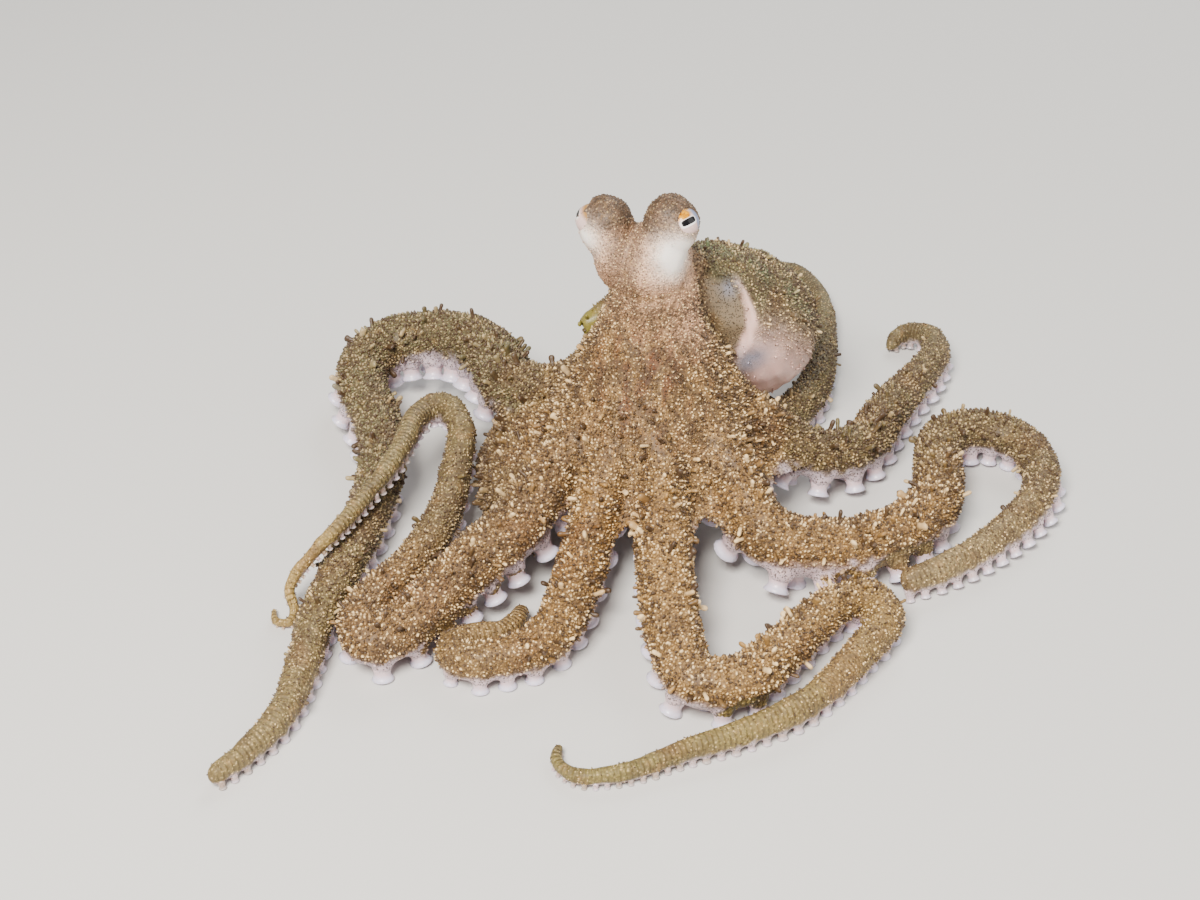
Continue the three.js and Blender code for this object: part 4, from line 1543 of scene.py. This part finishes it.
    def read(self, points: Array) -> Marks:
        """Finds everything that the skin keeps at points, each part's look blended into the next.

        Args:
            points: The points, one a row.

        Returns:
            Their marks.
        """
        place = self.locate(points)
        offs = self.distances(place)
        shares = np.exp(-offs / self.overlap)
        shares /= shares.sum(axis=0)
        first = np.argmin(offs, axis=0)
        region = np.where(first == 0, place.arm, first + Region.TENT.value - 1)
        warts = fade(Ripple(12.0, 31).at(points), -0.5, 0.6)
        soft = Ripple(9.0, 4).at(points)
        looks = (self.arm_look(place, warts), self.tent_look(place, warts, soft), self.head_look(place),
                 self.mantle_look(place, soft))

        def mixed(key: str) -> Array:
            """One number from its values on arm, tent, head and mantle."""
            return sum(np.broadcast_to(getattr(look, key), len(points)) * share
                       for look, share in zip(looks, shares))

        knob = np.clip(1.8 * blob(points, self.funnel.route[-1], self.knob_reach), 0, 1)
        tint = sum(look.tint * share[:, None] for look, share in zip(looks, shares))
        return Marks(region, washed(tint, Tone.KNOB, knob), self.roots(place, region),
                     coated=mixed("coated") * (1 - knob), warty=mixed("warty"), grain=mixed("grain"),
                     marked=mixed("marked") * (1 - knob), dotted=mixed("dotted"),
                     rough=mixed("rough") * (1 - knob), along=place.s + place.ahead, ringed=mixed("ringed"))


# ---- Skin ----
class Skin:
    """One skin over arms, web, head, mantle and funnel, with no seam."""

    voxel = 0.42
    most_triangles = 190_000
    smoothing = 7
    floor_gap = 0.15

    def __init__(self, arms: list[Arm], tent: Tent, webs: Webs, head: Head, mantle: Mantle,
                 funnel: Funnel) -> None:
        """Takes the parts that the skin covers."""
        self.arms, self.tent, self.webs = arms, tent, webs
        self.head, self.mantle, self.funnel = head, mantle, funnel

    def blank(self) -> Patch:
        """Every form that the skin flows over.

        Returns:
            Corners and faces.
        """
        patches = [arm.flesh() for arm in self.arms]
        patches.extend(lobe for arm in self.arms for lobe in arm.lobes())
        patches.append(self.tent.blank())
        ordered = sorted(self.arms, key=lambda arm: arm.plan.azimuth)
        for one, two in zip(ordered, ordered[1:] + ordered[:1]):
            patches.append(self.webs.between(one, two))
        patches.append(self.webs.fold())
        patches.extend(self.head.blanks())
        patches.extend(self.mantle.blanks())
        patches.append(self.funnel.blank())
        return joined(patches)

    @staticmethod
    def relax(mesh: bpy.types.Mesh, weight_of: Callable[[Array], Array], rounds: int) -> None:
        """Smooths a mesh: each corner moves towards its neighbours' middle by its own weight.

        Args:
            mesh: The mesh.
            weight_of: Gives the weights for its corners.
            rounds: How often.
        """
        points = corners_of(mesh)
        pairs = np.empty(len(mesh.edges) * 2, dtype=np.int64)
        mesh.edges.foreach_get("vertices", pairs)
        a, b = pairs.reshape(-1, 2).T
        degree = np.bincount(pairs, minlength=len(points)).clip(1)
        weight = weight_of(points)[:, None]
        for _ in range(rounds):
            total = np.stack([np.bincount(a, points[b, k], len(points))
                              + np.bincount(b, points[a, k], len(points)) for k in range(3)], axis=-1)
            points = blend(points, total / degree[:, None], weight)
        set_corners(mesh, points)

    def softness(self, points: Array) -> Array:
        """How much each point is smoothed: most about the crown, least at the tips and round the eyes.

        Args:
            points: The corners.

        Returns:
            Their weights.
        """
        out = np.hypot(points[:, 0], points[:, 1])
        weight = 0.25 + 0.45 * fade(out, 44, 30)
        for hand in Hand:
            weight *= 1 - 0.75 * blob(points, self.head.eye(hand), 3.5)
        return weight

    def build(self) -> bpy.types.Object:
        """Welds the blank, smooths it, opens the lids and wrinkles the surface.

        Returns:
            The skin, in millimetres.
        """
        item = to_mesh(self.blank(), "blank")
        weld = item.modifiers.new("weld", "REMESH")
        weld.mode = "VOXEL"
        weld.voxel_size = self.voxel
        item = evaluated(item, "welded")
        self.relax(item.data, self.softness, self.smoothing)
        set_corners(item.data, self.head.open_lids(corners_of(item.data)))
        LOG.info("skin welded: %d corners", len(item.data.vertices))
        thin = item.modifiers.new("thin", "DECIMATE")
        thin.ratio = min(1.0, self.most_triangles / (2 * len(item.data.polygons)))
        item = evaluated(item, "octopus_skin")
        self.wrinkle(item.data)
        return item

    def wrinkle(self, mesh: bpy.types.Mesh) -> None:
        """Raises soft uneven folds on the skin, less on thin arms and none round the eyes.

        Args:
            mesh: The skin's mesh.
        """
        points, normals = corners_of(mesh), normals_of(mesh)
        relief = 0.22 * Ripple(7.0, 11).at(points) + 0.14 * Ripple(3.2, 12).at(points)
        out = np.hypot(points[:, 0], points[:, 1])
        weight = blend(1.0, 0.5, fade(out, 30, 70))
        for hand in Hand:
            weight *= 1 - blob(points, self.head.eye(hand), 5.0)
        points = points + normals * (relief * weight - 0.06)[:, None]
        points[:, 2] = np.maximum(points[:, 2], self.floor_gap)
        set_corners(mesh, points)


# ---- Geometry Nodes ----
class Graph:
    """A Geometry Nodes tree while it is put together, with named inputs."""

    def __init__(self, name: str) -> None:
        """Starts a tree that takes and gives a mesh.

        Args:
            name: The tree's name.
        """
        self.tree = bpy.data.node_groups.new(name, "GeometryNodeTree")
        self.tree.interface.new_socket("Geometry", in_out="INPUT", socket_type="NodeSocketGeometry")
        self.tree.interface.new_socket("Geometry", in_out="OUTPUT", socket_type="NodeSocketGeometry")
        self.source = self.tree.nodes.new("NodeGroupInput")
        self.target = self.tree.nodes.new("NodeGroupOutput")
        self.last = self.source

    def input(self, name: str, kind: str) -> bpy.types.NodeSocket:
        """A named input of the tree."""
        self.tree.interface.new_socket(name, in_out="INPUT", socket_type=kind)
        return self.source.outputs[name]

    @staticmethod
    def pick(sockets: object, key: str | int) -> bpy.types.NodeSocket:
        """The socket in use that has that name or number.

        Args:
            sockets: The sockets of a node.
            key: The name or number.

        Returns:
            The socket.
        """
        if isinstance(key, int):
            return sockets[key]
        return next(socket for socket in sockets if socket.name == key and socket.enabled)

    def add(self, kind: str, inputs: dict | None = None, output: str | int = 0,
            **settings: object) -> bpy.types.NodeSocket:
        """Makes a node.

        Args:
            kind: The node's type.
            inputs: Its inputs, by name or number.
            output: The output wanted.
            settings: Its properties.

        Returns:
            That output.
        """
        node = self.tree.nodes.new(kind)
        for key, value in settings.items():
            setattr(node, key, value)
        for key, value in (inputs or {}).items():
            socket = self.pick(node.inputs, key)
            if isinstance(value, bpy.types.NodeSocket):
                self.tree.links.new(value, socket)
            else:
                socket.default_value = value
        self.last = node
        return self.pick(node.outputs, output)

    def named(self, name: str, kind: str = "FLOAT") -> bpy.types.NodeSocket:
        """What the mesh keeps under that name."""
        return self.add("GeometryNodeInputNamedAttribute", {"Name": name}, "Attribute", data_type=kind)

    def keep(self, geometry: bpy.types.NodeSocket, name: str, value: bpy.types.NodeSocket,
             kind: str = "FLOAT", domain: str = "POINT") -> bpy.types.NodeSocket:
        """Stores a value on a mesh or on points."""
        inputs = {"Geometry": geometry, "Name": name, "Value": value}
        return self.add("GeometryNodeStoreNamedAttribute", inputs, data_type=kind, domain=domain)

    def math(self, operation: str, a: object, b: object) -> bpy.types.NodeSocket:
        """One sum on two numbers."""
        return self.add("ShaderNodeMath", {0: a, 1: b}, operation=operation)

    def times(self, a: object, b: object) -> bpy.types.NodeSocket:
        """The product of two numbers."""
        return self.math("MULTIPLY", a, b)

    def random(self, low: float, high: float, seed: int) -> bpy.types.NodeSocket:
        """A random number for each element, from a fixed seed."""
        return self.add("FunctionNodeRandomValue", {2: low, 3: high, "Seed": seed}, 1, data_type="FLOAT")

    def finish(self, geometry: bpy.types.NodeSocket) -> bpy.types.NodeTree:
        """Closes the tree with its result."""
        self.tree.links.new(geometry, self.target.inputs[0])
        return self.tree


def run_graph(item: bpy.types.Object, tree: bpy.types.NodeTree, name: str,
              **values: object) -> bpy.types.Object:
    """Puts a tree on an object, sets its inputs by their identifiers and keeps the result as a mesh.

    Args:
        item: The object, which is used up.
        tree: The tree.
        name: The result's name.
        values: The tree's inputs by name.

    Returns:
        The result.
    """
    modifier = item.modifiers.new("graph", "NODES")
    modifier.node_group = tree
    identifiers = {socket.name: socket.identifier for socket in tree.interface.items_tree
                   if socket.in_out == "INPUT"}
    for key, value in values.items():
        modifier[identifiers[key]] = value
    return evaluated(item, name)


def grain_tree() -> bpy.types.NodeTree:
    """Small shapes set close together on a skin, each with a size, turn, lean and shade of its own.

    Returns:
        The tree.
    """
    graph = Graph("grains on a skin")
    shape = graph.input("Shape", "NodeSocketObject")
    spacing, crowding, width, height, lean = (graph.input(name, "NodeSocketFloat") for name in (
        "Spacing", "Crowding", "Width", "Height", "Lean"))
    seed = graph.input("Seed", "NodeSocketInt")
    material = graph.input("Material", "NodeSocketMaterial")
    density = graph.math("DIVIDE", crowding, graph.times(spacing, spacing))
    points = graph.add("GeometryNodeDistributePointsOnFaces",
                       {"Mesh": graph.source.outputs[0], "Distance Min": spacing, "Density Max": density,
                        "Density Factor": graph.named("coated"), "Seed": seed}, distribute_method="POISSON")
    rotation = graph.last.outputs["Rotation"]
    points = graph.keep(points, "fleck", graph.random(0.0, 1.0, 5))
    one = graph.add("GeometryNodeObjectInfo", {"Object": shape}, "Geometry")
    one = graph.keep(one, "tuft", graph.add("GeometryNodeInputPosition"), "FLOAT_VECTOR")
    one = graph.keep(one, "rise", graph.add("ShaderNodeSeparateXYZ",
                                            {0: graph.add("GeometryNodeInputPosition")}, 2))
    size = graph.named("grain")
    for angles in ({2: graph.random(0.0, 2 * math.pi, 6)},
                   {0: graph.times(lean, graph.random(-1.0, 1.0, 4))}):
        swing = graph.add("FunctionNodeEulerToRotation", {0: graph.add("ShaderNodeCombineXYZ", angles)})
        rotation = graph.add("FunctionNodeRotateRotation", {0: rotation, 1: swing}, rotation_space="LOCAL")
    own = graph.times(size, graph.random(0.72, 1.22, 7))
    wide = graph.times(own, width)
    deep = graph.times(wide, graph.random(1.0, 1.9, 8))
    tall = graph.times(graph.times(own, height), graph.random(0.7, 1.25, 9))
    scale = graph.add("ShaderNodeCombineXYZ", {0: wide, 1: deep, 2: tall})
    placed = graph.add("GeometryNodeInstanceOnPoints",
                       {"Points": points, "Instance": one, "Rotation": rotation, "Scale": scale})
    solid = graph.add("GeometryNodeRealizeInstances", {"Geometry": placed})
    patch = graph.add("ShaderNodeVectorMath",
                      {0: graph.named("tuft", "FLOAT_VECTOR"), 1: (GRAIN_ON_MAP, GRAIN_ON_MAP, 0.0)},
                      operation="MULTIPLY")
    place = graph.add("ShaderNodeVectorMath", {0: graph.named("root", "FLOAT_VECTOR"), 1: patch},
                      operation="ADD")
    mapped = graph.keep(solid, "OFBake", place, "FLOAT2", "CORNER")
    dressed = graph.add("GeometryNodeSetMaterial", {"Geometry": mapped, "Material": material})
    return graph.finish(dressed)


def sucker_tree() -> bpy.types.NodeTree:
    """A cup on every point, turned and sized as the point says.

    Returns:
        The tree.
    """
    graph = Graph("suckers on an arm")
    cup = graph.input("Cup", "NodeSocketObject")
    material = graph.input("Material", "NodeSocketMaterial")
    shape = graph.add("GeometryNodeObjectInfo", {"Object": cup}, "Geometry")
    turn = graph.add("FunctionNodeEulerToRotation", {0: graph.named("turn", "FLOAT_VECTOR")})
    points = graph.add("GeometryNodeMeshToPoints", {"Mesh": graph.source.outputs[0]})
    placed = graph.add("GeometryNodeInstanceOnPoints",
                       {"Points": points, "Instance": shape, "Rotation": turn,
                        "Scale": graph.named("size", "FLOAT_VECTOR")})
    solid = graph.add("GeometryNodeRealizeInstances", {"Geometry": placed})
    dressed = graph.add("GeometryNodeSetMaterial", {"Geometry": solid, "Material": material})
    return graph.finish(dressed)


# ---- Coat, suckers and eyes ----
@dataclass(frozen=True)
class CoatPlan:
    """The grains of one part of the body, in millimetres."""

    name: str
    region: int | None = None  # every region where there is none
    density: str = "coated"
    papillae: bool = False
    spacing: float = 0.54
    crowding: float = 1.7
    width: float = 0.235
    height: float = 0.6
    lean: float = 0.8
    seed: int = 1


class Coat:
    """The grains and papillae over the skin, with one piece of grains for each part of the body."""

    helpers = ("root", "tuft", "coated", "grain")
    least_density = 0.02
    floor_gap = 0.05
    club = ((1.1, -0.4), (0.9, 0.1), (0.74, 0.6), (0.86, 0.95), (0.9, 1.25), (0.72, 1.55), (0.36, 1.7))

    def __init__(self, skin: bpy.types.Object, marks: Marks, material: bpy.types.Material) -> None:
        """Reads the skin once for all the pieces, and makes the two shapes that are repeated.

        Args:
            skin: The skin.
            marks: What its corners keep.
            material: The grains' finish.
        """
        self.material = material
        self.marks = marks
        mesh = skin.data
        mesh.calc_loop_triangles()
        flat = np.empty(len(mesh.loop_triangles) * 3, dtype=np.int64)
        mesh.loop_triangles.foreach_get("vertices", flat)
        self.triangles = flat.reshape(-1, 3)
        self.points = corners_of(mesh)
        self.tree = grain_tree()
        self.grain = to_mesh((np.zeros((0, 3)), []), "grain")
        ball = bmesh.new()
        bmesh.ops.create_icosphere(ball, subdivisions=1, radius=1.0)
        ball.to_mesh(self.grain.data)
        ball.free()
        turn = np.linspace(0, 2 * math.pi, 7, endpoint=False)
        rings = np.array([np.column_stack([r * np.cos(turn), r * np.sin(turn), np.full(7, z)])
                          for r, z in self.club])
        self.papilla = to_mesh(loft(rings), "papilla")

    def ground(self, plan: CoatPlan) -> bpy.types.Object:
        """A copy of the part of the skin that the grains stand on.

        Args:
            plan: The coat's plan.

        Returns:
            The copy.
        """
        density = getattr(self.marks, plan.density)
        chosen = self.triangles
        if plan.region is not None:
            chosen = chosen[self.marks.region[chosen[:, 0]] == plan.region]
        chosen = chosen[density[chosen].mean(axis=1) > self.least_density]
        used, index = np.unique(chosen, return_inverse=True)
        item = to_mesh((self.points[used], index.reshape(-1, 3).tolist()), "ground")
        store(item.data, "tint", opaque(self.marks.tint[used]))
        store(item.data, "coated", density[used])
        for key in ("root", "grain", "marked"):
            store(item.data, key, getattr(self.marks, key)[used])
        return item

    def grow(self, plan: CoatPlan) -> bpy.types.Object:
        """The grains or papillae of one part.

        Args:
            plan: The coat's plan.

        Returns:
            The piece.
        """
        shape = self.papilla if plan.papillae else self.grain
        item = run_graph(self.ground(plan), self.tree, plan.name, Shape=shape, Spacing=plan.spacing,
                         Crowding=plan.crowding, Width=plan.width, Height=plan.height, Lean=plan.lean,
                         Seed=plan.seed, Material=self.material)
        for helper in self.helpers:
            layer = item.data.attributes.get(helper)
            if layer:
                item.data.attributes.remove(layer)
        points = corners_of(item.data)
        points[:, 2] = np.maximum(points[:, 2], self.floor_gap)
        set_corners(item.data, points)
        settle(item)
        return item

    def clear(self) -> None:
        """Deletes the two shapes once nothing more is grown."""
        discard(self.grain)
        discard(self.papilla)


class Suckers:
    """The two rows of suckers under an arm."""

    profile = ((1.0, 2.6), (1.02, 2.1), (0.98, 1.6), (0.88, 1.15), (0.77, 0.82), (0.76, 0.58), (0.88, 0.3),
               (1.06, 0.1), (1.0, 0.02), (0.9, 0.0), (0.68, 0.16), (0.4, 0.32), (0.28, 0.7), (0.02, 0.85))
    sides = 14
    rim = 0.39  # in radii of the arm
    lean = 0.24
    cup_starts = (9.5, 11.5)  # in rings of the profile

    def __init__(self, material: bpy.types.Material, markings: Markings) -> None:
        """Makes the cup that is repeated.

        Args:
            material: The suckers' finish.
            markings: Colours their feet.
        """
        self.material = material
        self.markings = markings
        self.tree = sucker_tree()
        turn = np.linspace(0, 2 * math.pi, self.sides, endpoint=False)
        profile = np.array(self.profile)
        rings = np.stack([np.outer(profile[:, 0], np.cos(turn)), np.outer(profile[:, 0], np.sin(turn)),
                          np.outer(profile[:, 1], np.ones(self.sides))], axis=-1)
        self.cup = to_mesh(loft(rings), "cup")
        heights = corners_of(self.cup.data)[:, 2]
        order = np.concatenate([np.repeat(np.arange(len(profile)), self.sides), [0, len(profile) - 1]])
        store(self.cup.data, "cup_height", heights)
        store(self.cup.data, "cup_inside", fade(order, *self.cup_starts))

    def under(self, arm: Arm) -> bpy.types.Object:
        """The suckers of one arm as one piece.

        Args:
            arm: The arm.

        Returns:
            The piece.
        """
        s, side = arm.sucker_places()
        f = arm.frames(s)
        rng = np.random.default_rng(int(arm.length * 10))
        small = fade(f.radius, 4.2, 2.2)
        rim = self.rim * (1 - 0.18 * small) * f.radius * rng.uniform(0.92, 1.04, len(s))
        low = -arm.rest_height * f.radius
        across = side * arm.sucker_offset * f.radius * f.squeeze
        spots = f.centre + f.side * across[:, None] + f.up * low[:, None]
        spots[:, 2] = np.maximum(spots[:, 2], 0.0)
        tilted = unit(f.up - f.side * (side * self.lean)[:, None])
        turn = np.array([Vector(up).to_track_quat("Z", "Y").to_euler() for up in tilted])
        height = rim * np.where(f.radius > 1.6, 1.0, 0.9)
        item = to_mesh((spots, []), "spots")
        store(item.data, "turn", turn)
        store(item.data, "size", np.column_stack([rim, rim, height]))
        marks = self.markings.read(spots + f.up * (0.8 * f.radius)[:, None])
        store(item.data, "tint", opaque(marks.tint))
        store(item.data, "small", 0.65 * small)
        made = run_graph(item, self.tree, f"{arm.plan.name}_suckers", Cup=self.cup, Material=self.material)
        points = corners_of(made.data)
        points[:, 2] = np.maximum(points[:, 2], 0.0)
        set_corners(made.data, points)
        settle(made)
        return made


class Eyes:
    """The two eyeballs."""

    across = 72
    down = 48

    def __init__(self, head: Head, material: bpy.types.Material) -> None:
        """Takes the head that the eyes sit in."""
        self.head = head
        self.material = material

    def ball(self, hand: Hand) -> bpy.types.Object:
        """Makes one eyeball, which keeps where each point lies as the eye looks out.

        Args:
            hand: Which eye.

        Returns:
            The eyeball.
        """
        look = self.head.look(hand)
        across = unit(np.cross(UP, look)) * hand.value
        axes = np.array([across, np.cross(look, across) * hand.value, look])
        ball = egg(self.head.eye(hand), (self.head.eye_radius,) * 3, axes, self.across, self.down)
        item = to_mesh(ball, f"eyeball_{hand.name.lower()}")
        away = (corners_of(item.data) - self.head.eye(hand)) / self.head.eye_radius
        store(item.data, "gaze", away @ axes.T)
        store(item.data, "gilt", np.full(len(away), hand.of(self.head.gilt)))
        item.data.materials.append(self.material)
        outward(item.data)
        settle(item)
        return item


def outward(mesh: bpy.types.Mesh) -> None:
    """Turns the faces of a closed mesh outwards if they point inwards.

    Args:
        mesh: The mesh.
    """
    points = corners_of(mesh)
    centre = points.mean(axis=0)
    inward = sum(1 if (np.array(face.center) - centre) @ np.array(face.normal) < 0 else -1
                 for face in mesh.polygons)
    if inward > 0:
        mesh.flip_normals()


# ---- Studio ----
@dataclass(frozen=True)
class Lamp:
    """A soft square light: where it stands about the animal, its size in metres, its watts and its colour."""

    name: str
    azimuth: float
    elevation: float
    distance: float
    size: float
    power: float
    colour: tuple[float, float, float]

    def build(self) -> None:
        """Sets the light up so that it faces the animal."""
        data = bpy.data.lights.new(self.name, "AREA")
        data.size, data.energy, data.color = self.size, self.power, self.colour
        item = bpy.data.objects.new(self.name, data)
        target = Vector((CROWN * MM).tolist()) + Vector((0, 0, 0.03))
        item.location = target + Vector((turned(self.azimuth, self.elevation) * self.distance).tolist())
        face(item, target - item.location)


def face(item: bpy.types.Object, way: Vector) -> None:
    """Turns a light or camera that way and puts it in the scene.

    Args:
        item: The light or camera.
        way: Where it looks.
    """
    item.rotation_mode = "QUATERNION"
    item.rotation_quaternion = way.to_track_quat("-Z", "Y")
    bpy.context.scene.collection.objects.link(item)


@dataclass
class Studio:
    """A plain pale floor, soft lights and the camera."""

    aim: tuple[float, float, float] = (-10.0, 18.0, 0.0)
    distance: float = 417.0
    elevation: float = 35.0
    lens: float = 60.0
    floor_half: float = 2.0
    floor_colour: tuple[float, ...] = (0.62, 0.61, 0.59, 1.0)
    sky: tuple[float, ...] = (0.86, 0.85, 0.83, 1.0)
    sky_strength: float = 0.44
    lamps: tuple[Lamp, ...] = (Lamp("key", -112, 50, 0.7, 0.26, 13.0, (1.0, 0.95, 0.88)),
                               Lamp("fill", -22, 26, 0.8, 0.6, 2.4, (1.0, 0.98, 0.96)),
                               Lamp("rim", 70, 40, 0.8, 0.4, 3.6, (0.94, 0.98, 1.0)))

    def floor(self) -> None:
        """Lays the floor."""
        half = self.floor_half
        corners = np.array([(-half, -half, 0), (half, -half, 0), (half, half, 0), (-half, half, 0)])
        item = to_mesh((corners, [(0, 1, 2, 3)]), "floor")
        shader = Shader("pale floor")
        item.data.materials.append(shader.finish({"Base Color": self.floor_colour, "Roughness": 0.9}))

    def camera(self) -> None:
        """Sets up the camera."""
        camera = bpy.data.cameras.new("camera")
        camera.lens = self.lens
        camera.sensor_width = 36.0
        camera.clip_start = 0.01
        camera.dof.use_dof = False
        item = bpy.data.objects.new("camera", camera)
        back = turned(-90, self.elevation)
        item.location = Vector(((np.array(self.aim) + CROWN + back * self.distance) * MM).tolist())
        face(item, Vector((-back).tolist()))
        bpy.context.scene.camera = item

    def build(self) -> None:
        """Sets up floor, lights, sky and camera."""
        self.floor()
        for lamp in self.lamps:
            lamp.build()
        world = bpy.data.worlds.new("studio")
        world.use_nodes = True
        background = world.node_tree.nodes["Background"]
        background.inputs[0].default_value = self.sky
        background.inputs[1].default_value = self.sky_strength
        bpy.context.scene.world = world
        self.camera()


# ---- Assembly ----
def claim(item: bpy.types.Object, slot: str, *nodes: str) -> None:
    """Fixes a finished piece to the animal and hides the nodes that it stands for.

    Args:
        item: The piece.
        slot: Not used.
        nodes: The nodes that it replaces.
    """
    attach(item, "root")
    if nodes:
        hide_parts(*nodes)
    item.data.calc_loop_triangles()
    LOG.info("%s: %d triangles", item.name, len(item.data.loop_triangles))


def main() -> None:
    """Builds the animal part by part."""
    logging.basicConfig(level=logging.INFO, format="%(message)s")
    arms = [Arm(plan) for plan in ARM_PLANS]
    tent, webs, head, mantle, funnel = Tent(), Webs(), Head(), Mantle(), Funnel()
    markings = Markings(arms, tent, head, mantle, funnel)

    skin = Skin(arms, tent, webs, head, mantle, funnel).build()
    marks = markings.read(corners_of(skin.data))
    for key in ("marked", "dotted", "rough", "along", "ringed"):
        store(skin.data, key, getattr(marks, key))
    store(skin.data, "tint", opaque(marks.tint))

    coat = Coat(skin, marks, GrainFinish().material())
    plans = [CoatPlan(f"{plan.name}_grains", i, seed=i + 1) for i, plan in enumerate(ARM_PLANS)]
    plans += [CoatPlan("tent_grains", Region.TENT.value, width=0.22, height=0.68, seed=9),
              CoatPlan("head_grains", Region.HEAD.value, spacing=0.5, width=0.26, height=0.3, seed=10),
              CoatPlan("mantle_grains", Region.MANTLE.value, seed=11),
              CoatPlan("papillae", None, "warty", True, spacing=1.7, crowding=0.6, width=0.42, height=1.0,
                       lean=0.6, seed=12)]
    pieces = [coat.grow(plan) for plan in plans]
    coat.clear()

    skin.data.materials.clear()
    skin.data.materials.append(SkinFinish().material())
    settle(skin)
    flesh = [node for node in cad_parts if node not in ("eye_left", "eye_right")]
    claim(skin, "skin", *flesh)
    for piece in pieces:
        claim(piece, "skin")

    suckers = Suckers(SuckerFinish().material(), markings)
    for arm in arms:
        claim(suckers.under(arm), "pale_skin")
    discard(suckers.cup)

    eyes = Eyes(head, EyeFinish().material())
    claim(eyes.ball(Hand.LEFT), "eye", "eye_left")
    claim(eyes.ball(Hand.RIGHT), "eye", "eye_right")

    Studio().build()


if __name__ == "__main__":
    main()
